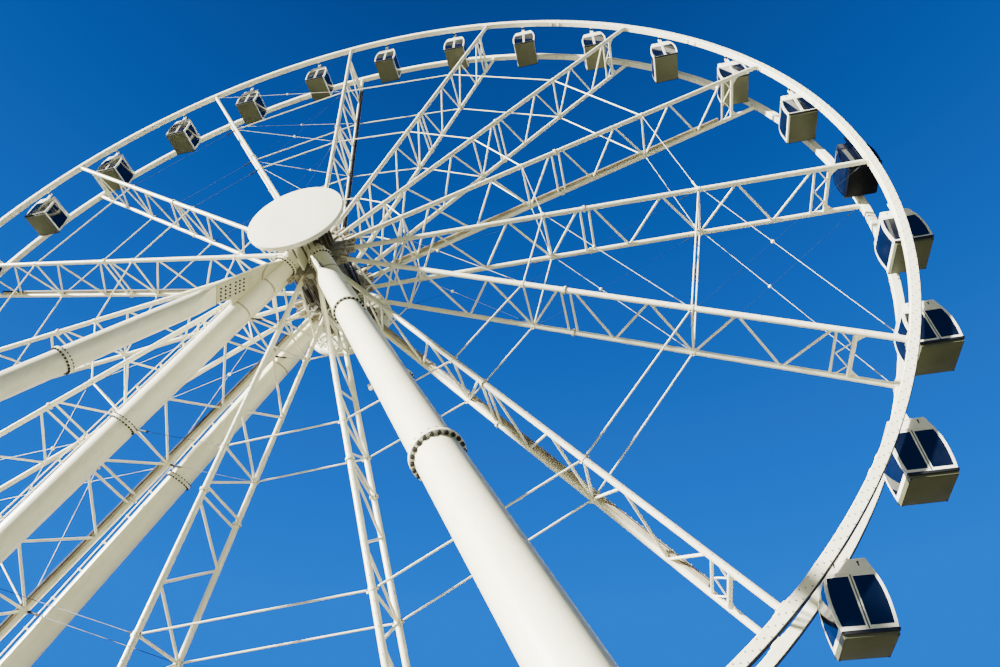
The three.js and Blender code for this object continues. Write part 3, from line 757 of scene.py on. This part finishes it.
def rim_lenses(bm, side):
    """Three staggered rows of small lenses on the outward face."""
    face_y = side * (RING_Y + RIM_HALF)
    per_sector, row_radii = 12, (13.53, 13.585, 13.64)
    for step in range(per_sector):
        for row, radius in enumerate(row_radii):
            angle = CABIN_STEP * (step + 0.5 + row / 3) / per_sector
            spot = Vector((cos(angle) * radius, face_y, sin(angle) * radius))
            sleeve(bm, spot, AXLE, 0, side * 0.006, 0.012, 8, 2)


def place_rims():
    turns = [CABIN_STEP * index for index in range(CABINS)]
    for name, side in (("near_rim", -1), ("far_rim", 1)):
        wheel_piece(rim_mesh(side), f"{name}_ring", [RIM_CREAM, RUBBER_BLACK], 0, [name])
        fittings = around_axle(rim_sector_mesh(side), turns)
        wheel_piece(fittings, f"{name}_fittings", [RIM_CREAM, BOLT_DARK, LENS_CLEAR], 0)


# Cabins, measured from their pivot. Slots: shell, glass, rubber, floor, bolt
SIDE = [
    (0.365, -1.212), (0.382, -1.10), (0.394, -0.97), (0.400, -0.84),
    (0.398, -0.72), (0.388, -0.61), (0.368, -0.50), (0.343, -0.405),
]
HALF_Y = 0.413
FLOOR_Z, EAVES_Z = SIDE[0][1], SIDE[-1][1]
SHELL, GLASS, RUBBER, FLOOR, BOLT = range(5)


def side_x(z):
    """Half width of the cabin's side at a height below the pivot."""
    for (x0, z0), (x1, z1) in zip(SIDE, SIDE[1:]):
        if z0 <= z <= z1:
            return x0 + (x1 - x0) * (z - z0) / (z1 - z0)
    return SIDE[0][0] if z < SIDE[0][1] else SIDE[-1][0]


def side_line(flank, inset, y, levels):
    """Points at a distance in from one side of the cabin."""
    return [Vector((flank * (side_x(z) - inset), y, z)) for z in levels]


def face_outline(levels, inset, y):
    """Closed outline of the cabin's face at a distance in from its sides."""
    return side_line(1, inset, y, levels) + side_line(-1, inset, y, reversed(levels))


def cabin_mesh():
    bm = bmesh.new()
    for face in (-1, 1):
        face_frame(bm, face)
        door_leaves(bm, face)
        bumper(bm, face)
        hanger(bm, face)
    for flank in (-1, 1):
        flank_wall(bm, flank)
    floor_tray(bm)
    roof_cap(bm)
    return to_mesh(bm, "cabin", 30)


def face_frame(bm, face):
    """Moulded surround of the door opening."""
    levels = [z for _, z in SIDE]
    inner_levels = [levels[0] + 0.004] + levels[1:-1] + [levels[-1] - 0.026]
    y = face * HALF_Y
    outer, inner = face_outline(levels, 0.0, y), face_outline(inner_levels, 0.02, y)
    ring_plate(bm, outer, inner, (0, -face * 0.02, 0), SHELL)


def door_leaves(bm, face):
    """Pair of leaves: rails, stiles and a pane each, meeting on a rubber seal at the middle."""
    y = face * (HALF_Y - 0.003)
    low, high, glass_low, glass_high = -1.204, -0.434, -1.150, -0.458
    for flank in (-1, 1):
        outer = side_line(flank, 0.023, y, spread(low, high, 7))
        outer += [Vector((flank * 0.007, y, high)), Vector((flank * 0.007, y, low))]
        inner = side_line(flank, 0.037, y, spread(glass_low, glass_high, 7))
        inner += [Vector((flank * 0.031, y, glass_high)), Vector((flank * 0.031, y, glass_low))]
        ring_plate(bm, outer, inner, (0, -face * 0.016, 0), SHELL)
        pane = [point - AXLE * face * 0.005 for point in inner]
        prism(bm, pane, (0, -face * 0.006, 0), GLASS)
    block(bm, (-0.007, face * (HALF_Y - 0.016), low), (0.007, face * (HALF_Y + 0.001), high), RUBBER)


def bumper(bm, face):
    """Rubber fender across the foot of the doors with a bright trim line above it."""
    inner = face * (HALF_Y - 0.004)
    block(bm, (-0.368, inner, FLOOR_Z - 0.050), (0.368, face * (HALF_Y + 0.028), FLOOR_Z), RUBBER, 0.008)
    block(bm, (-0.36, inner, FLOOR_Z), (0.36, face * (HALF_Y + 0.010), -1.200), SHELL, 0.002)
    for flank in (-1, 1):
        foot = Vector((flank * 0.355, face * (HALF_Y - 0.01), -1.235))
        sleeve(bm, foot, AXLE, 0, face * 0.038, 0.02, 12, BOLT)


def hanger(bm, face):
    """Plate from the roof to the pivot with the boss round the pin."""
    y = face * (HALF_Y - 0.022)
    plate = [(-0.062, -0.23), (0.062, -0.23), (0.05, -0.12), (0.046, 0.036), (-0.046, 0.036), (-0.05, -0.12)]
    hole_r, angles = 0.0285, [radians(-150 + 60 * step) for step in range(6)]
    outer = [Vector((x, y, z)) for x, z in plate]
    inner = [Vector((hole_r * cos(angle), y, hole_r * sin(angle))) for angle in angles]
    ring_plate(bm, outer, inner, (0, face * 0.022, 0), SHELL)
    turned_ring(bm, box_section(0.029, 0.05, -0.006, 0.026), (0, y, 0), AXLE * face, OUTWARD, 24, SHELL)


def curved_strip(bm, flank, levels, inset, depth, y0, y1, index):
    """Strip of the curved side between two lines across, with a thickness inwards."""
    outline = side_line(flank, inset, y0, levels) + side_line(flank, inset + depth, y0, reversed(levels))
    prism(bm, outline, (0, y1 - y0, 0), index)


def flank_wall(bm, flank):
    """Curved side: posts, sill and header round one large curved pane."""
    levels = [z for _, z in SIDE]
    sill, head = -1.148, -0.452
    post_y = 0.352
    for face in (-1, 1):
        curved_strip(bm, flank, levels, 0.0, 0.02, face * post_y, face * (HALF_Y - 0.004), SHELL)
        curved_strip(bm, flank, spread(sill, head, 7), 0.001, 0.014, face * 0.345, face * post_y, RUBBER)
    for low, high in ((FLOOR_Z, sill), (head, EAVES_Z)):
        curved_strip(bm, flank, spread(low, high, 2), 0.0, 0.02, -0.353, 0.353, SHELL)
    curved_strip(bm, flank, spread(sill, head, 10), 0.004, 0.006, -0.346, 0.346, GLASS)


def floor_tray(bm):
    """Tapered tray under the floor with a raised panel and a foot at each corner."""
    rings = []
    for half_x, half_y, z in ((SIDE[0][0], 0.409, FLOOR_Z), (0.350, 0.399, -1.298)):
        rings.append([Vector((x * half_x, y * half_y, z)) for x, y in ((1, 1), (1, -1), (-1, -1), (-1, 1))])
    loft(bm, rings, FLOOR)
    block(bm, (-0.325, -0.375, -1.303), (0.325, 0.375, -1.294), FLOOR, 0.003)
    for x in (-0.332, 0.332):
        for y in (-0.382, 0.382):
            sleeve(bm, Vector((x, y, 0)), UP, -1.29, -1.305, 0.014, 10, RUBBER)


def roof_cap(bm):
    """Trapezoid cap with two keyhole slots in each face, drawn as solid black blocks that paint the shade
    inside them, and a gutter line at its foot.
    """
    half = [(0.346, EAVES_Z), (0.338, -0.386), (0.292, -0.225), (0.276, -0.207)]
    prism(bm, [Vector((x, -0.407, z)) for x, z in mirrored(half)], (0, 0.814, 0), SHELL)
    block(bm, (-0.35, -0.418, -0.412), (0.35, 0.418, -0.398), SHELL, 0.003)
    inner, slot_low, slot_high = 0.404, -0.318, -0.262
    for face in (-1, 1):
        # the slots are solid black, painted shade in place of holes
        for x in (-0.166, 0.166):
            block(bm, (x - 0.009, face * inner, slot_low), (x + 0.009, face * 0.4105, slot_high), RUBBER)
            sleeve(bm, Vector((x, 0, slot_high)), AXLE, face * inner, face * 0.411, 0.016, 12, RUBBER)


def place_cabins():
    shell = cabin_mesh()
    for index in range(CABINS):
        angle = REST - CABIN_STEP * (index + 0.5)
        mesh = shell.copy()
        mesh.transform(Matrix.Translation(HUB + Vector((cos(angle) * PIVOT_R, 0, sin(angle) * PIVOT_R))))
        name = f"cabin_{index + 1:02d}"
        dark = index == DARK_CABIN
        # the olive tray colour carries painted shade
        shell_paint, tray_paint = (SHELL_NAVY, UNDER_NAVY) if dark else (SHELL_WHITE, UNDER_OLIVE_SHADED)
        materials = [shell_paint, GLASS_BLUE, RUBBER_BLACK, tray_paint, BOLT_DARK]
        piece(mesh, f"{name}_body", materials, f"{name}_body", [name])


# Stand: a point and a slope for each tube centreline, measured from the hub centre
MAIN = dict(x=1.170, y=1.045, z=-2.025, dx=0.5564, dy=0.0107, radius=0.255)
MAIN.update(flanges=(-5.32, -10.395), seams=(-2.2,))
OUTER = dict(x=1.018, y=1.637, z=-2.025, dx=0.5162, dy=0.4486, radius=0.236)
OUTER.update(flanges=(-5.5, -10.45), seams=())
HEAD_Z, LEG_TOP_Z, NECK_Z = -0.76, -0.7605, -0.25
FOOT_Z = -15.5 + 0.3003
FLANGE_EXTRA, FLANGE_HALF = 0.046, 0.026
# Flat of the neck flanges: the hub's brackets pass 8 mm away from it and the chords 28 mm
WHEEL_SIDE_Y = 0.772
RUNG_PITCH, BRACKET_PITCH = 0.125, 0.585
KNEE_Z = -1.5
KNEE_OUTLINE = [
    (-0.69, -0.06), (-0.69, 0.175), (-0.10, 0.285), (1.64, 0.275), (1.90, 0.22),
    (1.90, -0.22), (1.30, -0.22), (0.93, -0.28), (0.85, -0.73),
]


def leg_point(leg, z, sx, sy):
    drop = leg["z"] - z
    return HUB + Vector((sx * (leg["x"] + leg["dx"] * drop), sy * (leg["y"] + leg["dy"] * drop), z))


def leg_axis(leg, sx, sy):
    return Vector((sx * leg["dx"], sy * leg["dy"], -1)).normalized()


def leg_flange(bm, leg, z, sx, sy):
    """Pair of bolted rings with a dark joint line and hexagon heads on both outer faces."""
    centre, axis = leg_point(leg, z, sx, sy), leg_axis(leg, sx, sy)
    outer = leg["radius"] + FLANGE_EXTRA
    for way in (axis, -axis):
        sleeve(bm, centre, way, 0.003, FLANGE_HALF, outer, 64)
        flange_bolts(bm, leg, centre + way * FLANGE_HALF, way)
    sleeve(bm, centre, axis, -0.003, 0.003, outer - 0.008, 64, 1)


def flange_bolts(bm, leg, centre, way):
    bolt_circle(bm, centre, way, leg["radius"] + 0.022, 22, 0.0225, 0.028, 1)


def neck_flange(bm, face, way):
    """Bolted ring that reaches one way from the face where the leg meets the head."""
    sleeve(bm, face, way, 0, FLANGE_HALF, MAIN["radius"] + FLANGE_EXTRA, 64)
    flange_bolts(bm, MAIN, face + way * FLANGE_HALF, way)


def cut_beside_wheel(bm, side):
    """Cuts off what stands nearer to the wheel than the flat of the neck flanges, and closes the cuts."""
    parts = bm.verts[:] + bm.edges[:] + bm.faces[:]
    spot, way = AXLE * side * WHEEL_SIDE_Y, AXLE * -side
    cut = bmesh.ops.bisect_plane(bm, geom=parts, dist=1e-5, plane_co=spot, plane_no=way, clear_outer=True)
    edges = [item for item in cut["geom_cut"] if isinstance(item, bmesh.types.BMEdge)]
    bmesh.ops.edgenet_fill(bm, edges=edges)


def leg_foot(bm, leg, sx, sy):
    """Base plate with anchor bolts and upright stiffeners round the tube."""
    thick, reach = 0.06, leg["radius"] * 1.5
    centre = leg_point(leg, FOOT_Z + thick, sx, sy)
    block(bm, centre - Vector((reach, reach, thick)), centre + Vector((reach, reach, 0)), 0, 0.006)
    for x, y in [(x, y) for x in (-1, 0, 1) for y in (-1, 0, 1) if x or y]:
        sleeve(bm, centre + Vector((x, y, 0)) * reach * 0.84, UP, 0, 0.04, 0.022, 6, 1)
    for turn in range(4):
        arm = Matrix.Rotation(pi / 2 * turn, 3, "Z") @ OUTWARD
        side = UP.cross(arm) * 0.01
        inner, outer = centre + arm * (leg["radius"] * 0.6), centre + arm * (reach * 0.95)
        points = [inner, outer, outer + UP * 0.04, inner + UP * 0.4]
        prism(bm, [point - side for point in points], side * 2)


def leg_body(bm, leg, z_top, sx, sy):
    """Tube with its bolted flanges and raised weld seams."""
    axis = leg_axis(leg, sx, sy)
    tube(bm, leg_point(leg, z_top, sx, sy), leg_point(leg, FOOT_Z + 0.05, sx, sy), leg["radius"], 64)
    for z in leg["flanges"]:
        leg_flange(bm, leg, z, sx, sy)
    for z in leg["seams"]:
        sleeve(bm, leg_point(leg, z, sx, sy), axis, -0.02, 0.02, leg["radius"] + 0.005, 64, 2)


def knee_frame(sx, sy):
    """Plane of the knee plate: origin, down the outrigger, across it away from the leg, normal."""
    origin = leg_point(OUTER, KNEE_Z, sx, sy)
    along = leg_axis(OUTER, sx, sy)
    to_leg = leg_point(MAIN, KNEE_Z, sx, sy) - origin
    across = -(to_leg - along * to_leg.dot(along)).normalized()
    return origin, along, across, along.cross(across)


def knee_plates(bm, sx, sy):
    """Knee plate, bolted cover plates on both faces and the raised seam where it meets the leg.

    The left one lies in the shade of the head, and its plate is drawn in a duller, greener cream that paints
    that shade.
    """
    # slot 3 paints the shade of the head on the left plate
    paint = 3 if sx < 0 else 0
    origin, along, across, normal = knee_frame(sx, sy)

    def at(down, away, lift):
        return origin + along * down + across * away + normal * lift

    half, cover_thick, bolt_h = 0.022, 0.016, 0.016
    prism(bm, [at(down, away, -half) for down, away in KNEE_OUTLINE], normal * half * 2, paint)
    cover = [(0.42, -0.20), (0.42, 0.262), (1.345, 0.258), (1.345, -0.20)]
    for face in (-1, 1):
        prism(bm, [at(down, away, face * half) for down, away in cover], normal * face * cover_thick, paint)
        for down in (0.58, 0.70, 0.82, 0.98, 1.11, 1.24):
            for away in (-0.15, -0.05, 0.05, 0.15):
                spot = at(down, away, face * (half + cover_thick))
                sleeve(bm, spot, normal * face, 0, bolt_h, 0.024, 8, 1)
        # thin brown rods along the cover plate edges paint the shadow at the step
        for edge in ((0.415, 0.262), (1.350, 0.258)):
            tube(bm, at(edge[0], -0.20, face * 0.026), at(*edge, face * 0.026), 0.010, 8, 2)
        # the brown bead and collar paint the shadow line where the plate meets the tube
        bead = [at(-0.16, 0.272, face * 0.024), at(-0.02, 0.10, face * 0.026), at(0.0, -0.10, face * 0.03)]
        for start, end in zip(bead, bead[1:]):
            tube(bm, start, end, 0.026, 10, 2)
    collar, axis = leg_point(MAIN, -1.42, sx, sy), leg_axis(MAIN, sx, sy)
    sleeve(bm, collar, axis, -0.022, 0.022, MAIN["radius"] + 0.006, 64, 2)


def outrigger_head(bm, sx, sy):
    """Skin that runs from the flat tongue at the knee to the round tube of the outrigger."""
    origin, along, across, normal = knee_frame(sx, sy)
    sides = 48
    radius = OUTER["radius"]
    stages = [(1.362, 0.262, 0.034), (1.48, 0.262, 0.036), (1.62, 0.255, 0.075), (1.78, 0.244, 0.15)]
    stages += [(1.94, radius, 0.215), (2.06, radius, radius)]
    rings = []
    for down, wide, thick in stages:
        square = 1 - thick / radius
        ring = []
        for step in range(sides):
            angle = 2 * pi * step / sides
            reach = max(abs(cos(angle)), abs(sin(angle))) ** square
            offset = across * cos(angle) / reach * wide + normal * sin(angle) / reach * thick
            ring.append(origin + along * down + offset)
        rings.append(ring)
    loft(bm, rings)


def legs_mesh(sx, sy):
    """Main leg and, in the near row, the outrigger that it carries on the knee plate."""
    bm = bmesh.new()
    axis = leg_axis(MAIN, sx, sy)
    leg_body(bm, MAIN, -0.80, sx, sy)
    top = leg_point(MAIN, LEG_TOP_Z, sx, sy)
    neck_flange(bm, top, axis)
    leg_foot(bm, MAIN, sx, sy)
    if sy < 0:
        knee_plates(bm, sx, sy)
        outrigger_head(bm, sx, sy)
        leg_body(bm, OUTER, -3.19, sx, sy)
        leg_foot(bm, OUTER, sx, sy)
    cut_beside_wheel(bm, sy)
    return to_mesh(bm, "legs")


def beside_leg(z, angle, reach, sx, sy):
    """Point at a reach from a main leg's centreline; 90 degrees is its upper side, 180 the near side."""
    axis = leg_axis(MAIN, sx, sy)
    level = (AXLE - axis * AXLE.dot(axis)).normalized()
    upward = level.cross(axis) * -sx
    return leg_point(MAIN, z, sx, sy) + level * cos(angle) * reach + upward * sin(angle) * reach


def ladder_mesh(sx, sy, angle, reach, first):
    """Ladder on the upper side of a main leg, on brackets. Slots: paint, dark rungs."""
    bm = bmesh.new()
    z_top, z_low, half = -2.35, FOOT_Z + 0.5, radians(15)
    rail_r, rung_r, bracket_r, bearer_r = 0.011, 0.006, 0.014, 0.021

    def rail(z, way):
        return beside_leg(z, angle + way * half, reach, sx, sy)

    for way in (-1, 1):
        tube(bm, rail(z_top, way), rail(z_low, way), rail_r, 10)
    for step in range(int((z_top - z_low) / RUNG_PITCH)):
        z = z_top - 0.05 - step * RUNG_PITCH
        tube(bm, rail(z, -1), rail(z, 1), rung_r, 6, 1)
    for step in range(int((first - z_low) / BRACKET_PITCH) + 1):
        z = first - step * BRACKET_PITCH
        for way in (-1, 1):
            tube(bm, beside_leg(z, angle + way * half, 0.25, sx, sy), rail(z, way), bracket_r, 8)
        tube(bm, rail(z, -1.25), rail(z, 1.25), bearer_r, 8)
    return to_mesh(bm, "ladder")


def work_lamp_mesh(leg, z, sx, sy):
    """Small flood lamp on a bracket at the inner edge of a tube. Slots: paint, black housing."""
    bm = bmesh.new()
    axis = leg_axis(leg, sx, sy)
    inward = axis.cross(AXLE).normalized() * -sx
    skin = leg_point(leg, z, sx, sy) + inward * (leg["radius"] - 0.01)
    sleeve(bm, skin, inward, 0, 0.05, 0.012, 8)
    housing = skin + inward * 0.04
    sleeve(bm, housing, axis, -0.05, 0.05, 0.024, 10, 1)
    sleeve(bm, housing, axis, 0.05, 0.06, 0.027, 10)
    return to_mesh(bm, "work_lamp")


def place_legs():
    for column, sx in (("left", -1), ("right", 1)):
        for name, sy in ((f"near_{column}_legs", -1), (f"far_{column}_leg", 1)):
            materials = [TUBE_CREAM, BOLT_DARK, SEAM_SHADE_BROWN, PLATE_SHADE_CREAM]
            piece(legs_mesh(sx, sy), f"{name}_tubes", materials, "stand", [name])
    lamp = work_lamp_mesh(OUTER, -8.47, 1, -1)
    piece(lamp, "near_right_work_lamp", [STEEL_CREAM, RUBBER_BLACK], "stand")
    for row, sy, angle, reach, first in (("near", -1, 120, 0.38, -2.9), ("far", 1, 100, 0.36, -2.84)):
        ladder = ladder_mesh(-1, sy, radians(angle), reach, first)
        piece(ladder, f"{row}_left_ladder", [STEEL_CREAM, BOLT_DARK], "stand")


# Outlines of (radius, distance from the middle) with their slot: ribs of the housing and of the disc
HOUSING_IN, DISC_IN, DISC_OUT = 0.86, 1.742, 1.915
HEAD_RIBS = (
    (((0.50, 0.90), (0.61, 0.90), (0.66, 1.70), (0.50, 1.70)), 2),
    (((0.60, 1.69), (1.16, 1.72), (1.16, 1.76), (0.60, 1.76)), 0),
)
COVER_DISC = [
    (0.52, 1.74), (1.13, DISC_IN), (1.16, 1.755), (1.20, 1.775), (1.222, 1.80),
    (1.233, 1.835), (1.233, 1.895), (1.224, 1.911), (1.205, DISC_OUT), (0.52, DISC_OUT),
]


def head_mesh(side):
    """Ribbed bearing housing, leg necks, forked rib and stepped cover disc. Slots: paint, bolt, casing."""
    bm = bmesh.new()
    way = AXLE * side
    housing = [(0.256, HOUSING_IN), (0.5, HOUSING_IN), (0.515, 0.88), (0.515, 1.755), (0.256, 1.755)]
    # the housing and its ribs take slot 2, brown that paints the shade on the cream housing
    turned_ring(bm, housing, HUB, way, OUTWARD, 48, 2)
    ribs, rib_thick = 24, 0.024
    for step in range(ribs):
        turn = Matrix.Translation(HUB) @ Matrix.Rotation(2 * pi * (step + 0.5) / ribs, 4, "Y")
        shift = turn.to_3x3() @ UP * rib_thick
        for rib, index in HEAD_RIBS:
            prism(bm, [turn @ Vector((r, side * y, -rib_thick / 2)) for r, y in rib], shift, index)
    for radius in (0.72, 0.98):
        turned_ring(bm, box_section(radius, radius + 0.03, 1.69, 1.75), HUB, way, OUTWARD, 64)
    bolt_circle(bm, HUB + way * HOUSING_IN, -way, 0.40, 20, 0.015, 0.016, 1)
    bolt_circle(bm, HUB + way * DISC_IN, -way, 1.07, 48, 0.018, 0.02, 1)
    turned_ring(bm, COVER_DISC, HUB, way, OUTWARD, 96)
    sleeve(bm, HUB, way, 1.66, DISC_OUT, 0.521, 96)
    for sx in (-1, 1):
        bottom = leg_point(MAIN, HEAD_Z, sx, side)
        axis = leg_axis(MAIN, sx, side)
        tube(bm, leg_point(MAIN, NECK_Z, sx, side), bottom, MAIN["radius"] - 0.005, 48)
        neck_flange(bm, bottom, -axis)
    forked_rib(bm, side)
    cut_beside_wheel(bm, side)
    return to_mesh(bm, "head")


def forked_rib(bm, side):
    """Web between the necks: a slim stem under the housing that spreads where it meets the disc."""
    foot_z = -0.93
    stem = [(0.36, -0.42), (0.14, -0.50), (0.034, -0.60), (0.024, foot_z)]
    prism(bm, [HUB + Vector((x, side * 0.92, z)) for x, z in mirrored(stem)], (0, side * 0.84, 0))
    fork = [(0.024, 1.30), (0.045, 1.46), (0.11, 1.60), (0.25, 1.70), (0.42, 1.745)]
    prism(bm, [HUB + Vector((x, side * y, foot_z)) for x, y in mirrored(fork)], (0, 0, 0.34))


def place_heads():
    for name, side in (("near_hub_head", -1), ("far_hub_head", 1)):
        materials = [HEAD_CREAM, BOLT_DARK, CASING_BROWN_SHADED]
        piece(head_mesh(side), f"{name}_casting", materials, "stand", [name])


# Ground parts, which keep the shape of their solids and get their finer pieces here
BEAM_H, BEAM_IN_X, BEAM_OUT_X = 0.30, 7.97, 9.06
DECK_TOP = 0.56
DECK_HALF_X, DECK_IN_Y, DECK_OUT_Y = 2.1, 0.45, 1.5
GATE_HALF_X = 0.93
STEP_GOING, STEP_RISE = 0.14, 0.094
KNEE_RAIL_R, BOARD_TOP = 0.012, DECK_TOP + 0.07


def platform_fittings_mesh():
    """Knee rails, toe boards and step nosings. Slots: galvanised tube, tread plate, yellow edge paint."""
    bm = bmesh.new()
    for sy in (-1, 1):
        out_y, in_y = sy * (DECK_OUT_Y - 0.03), sy * (DECK_IN_Y + 0.06)
        for sx in (-1, 1):
            end_x, gate_x = sx * (DECK_HALF_X - 0.03), sx * GATE_HALF_X
            for z in (DECK_TOP + 0.19, DECK_TOP + 0.37):
                tube(bm, (end_x, out_y, z), (gate_x, out_y, z), KNEE_RAIL_R, 10)
                tube(bm, (end_x, in_y, z), (end_x, out_y, z), KNEE_RAIL_R, 10)
            y = sy * (DECK_OUT_Y - 0.022)
            board_end = sx * (DECK_HALF_X - 0.01)
            block(bm, (board_end, y, DECK_TOP), (gate_x, y + sy * 0.012, BOARD_TOP), 1, 0.002)
            x = sx * (DECK_HALF_X - 0.014)
            block(bm, (x, sy * DECK_IN_Y, DECK_TOP), (x + sx * 0.01, y, BOARD_TOP), 1, 0.002)
        block(bm, (-2.08, sy * (DECK_IN_Y + 0.002), DECK_TOP), (2.08, sy * 0.50, DECK_TOP + 0.004), 2)
        for step in range(1, 6):
            edge, top = DECK_OUT_Y + step * STEP_GOING, DECK_TOP - step * STEP_RISE
            block(bm, (-0.895, sy * (edge - 0.03), top), (0.895, sy * (edge + 0.002), top + 0.004), 2)
    return to_mesh(bm, "platform_fittings")


def base_fittings_mesh():
    """Stiffener plates and lifting eyes on the beams. Slots: beige paint, bolt."""
    bm = bmesh.new()
    stiffener = [(0, 0.02), (0.06, 0.02), (0.06, 0.05), (0, 0.26)]
    for sx in (-1, 1):
        for sy in (-1, 1):
            for y in (2.6, 4.2, 5.8):
                for x, way in ((sx * BEAM_IN_X, -sx), (sx * BEAM_OUT_X, sx)):
                    prism(bm, [(x + way * d, sy * y, z) for d, z in stiffener], (0, 0.016, 0))
            for y in (1.9, 7.0):
                eye = Vector((sx * 8.5, sy * y, BEAM_H + 0.045))
                turned_ring(bm, box_section(0.03, 0.06, -0.012, 0.012), eye, OUTWARD, AXLE, 20, 1)
    return to_mesh(bm, "base_fittings")


def place_ground_parts():
    kept = {"base_frame": BASE_BEIGE, "boarding_platform": DECK_PLATE}
    for name, material in kept.items():
        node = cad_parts[name]
        node.data.materials.clear()
        node.data.materials.append(material)
    rails = platform_fittings_mesh()
    piece(rails, "boarding_platform_fittings", [RAIL_ZINC, DECK_PLATE, EDGE_YELLOW], "stand")
    piece(base_fittings_mesh(), "base_frame_fittings", [BASE_BEIGE, BOLT_DARK], "stand")


def make_stage():
    """Plain pale floor; it throws back less light than its paint would, as the studio's walls are far off."""
    bm = bmesh.new()
    bmesh.ops.create_grid(bm, x_segments=1, y_segments=1, size=120)
    floor = bpy.data.objects.new("floor", to_mesh(bm, "floor"))
    bpy.context.scene.collection.objects.link(floor)
    material, tree = blank_material("pale_floor")[:2]
    rays = add_node(tree, "LightPath")
    shades = {"data_type": "RGBA", FIRST: colour("#57574b"), SECOND: colour("#e4dfd2")}
    shade = add_node(tree, "Mix", shades, {SHARE: (rays, "Is Camera Ray")})
    close_material(tree, {"Roughness": 0.8}, shade)
    floor.data.materials.append(material)


def make_light():
    """Plain blue backdrop, a dim warm fill and one large key lamp from the left."""
    world = bpy.data.worlds.new("studio")
    bpy.context.scene.world = world
    world.use_nodes = True
    tree = world.node_tree
    tree.nodes.clear()
    rays = add_node(tree, "LightPath")
    place = add_node(tree, "TexCoord")
    height = add_node(tree, "SeparateXYZ", {}, {"Vector": (place, "Generated")})
    limits = {FROM_LOW: 0.4, FROM_HIGH: 0.95}
    share = add_node(tree, "MapRange", limits, {"Value": (height, "Z")})
    blues = {"data_type": "RGBA", FIRST: colour("#0078ff"), SECOND: colour("#003f93")}
    blue = add_node(tree, "Mix", blues, {SHARE: (share, 0)})
    backdrop = add_node(tree, "Background", {"Strength": 1.0}, {"Color": (blue, MIXED)})
    fill = add_node(tree, "Background", {"Color": colour("#a3b890"), "Strength": 0.34})
    sources = {"Fac": (rays, "Is Diffuse Ray"), 1: (backdrop, 0), 2: (fill, 0)}
    both = add_node(tree, "MixShader", {}, sources)
    add_node(tree, "OutputWorld", {}, {"Surface": (both, 0)})
    key = bpy.data.lights.new("key", "SUN")
    key.energy = 30.0
    key.angle = radians(3)
    key.color = (1.0, 0.98, 0.87)
    lamp = bpy.data.objects.new("key", key)
    towards_lamp = Vector((-0.82, -0.50, 0.38))
    lamp.rotation_euler = towards_lamp.to_track_quat("Z", "Y").to_euler()
    bpy.context.scene.collection.objects.link(lamp)


def make_camera():
    """Where the photo was taken: close below the wheel, to the right of its middle, with a short lens."""
    data = bpy.data.cameras.new("photo_camera")
    data.sensor_width = 36
    data.sensor_fit = "HORIZONTAL"
    data.lens = 25.190
    data.clip_start = 0.05
    data.clip_end = 400
    camera = bpy.data.objects.new("photo_camera", data)
    right = Vector((0.976186, 0.216935, -0.000174))
    down = Vector((-0.154667, 0.695421, -0.701760))
    ahead = Vector((-0.152115, 0.685075, 0.712413))
    turn = Matrix((right, -down, -ahead)).transposed().to_4x4()
    place = (7.13393, -10.64382, 1.13261)
    camera.matrix_world = Matrix.Translation(place) @ turn
    bpy.context.scene.collection.objects.link(camera)
    bpy.context.scene.camera = camera


make_camera()
make_stage()
make_light()
place_spokes()
place_struts()
place_stays()
place_hub()
place_rims()
place_cabins()
place_legs()
place_heads()
place_ground_parts()
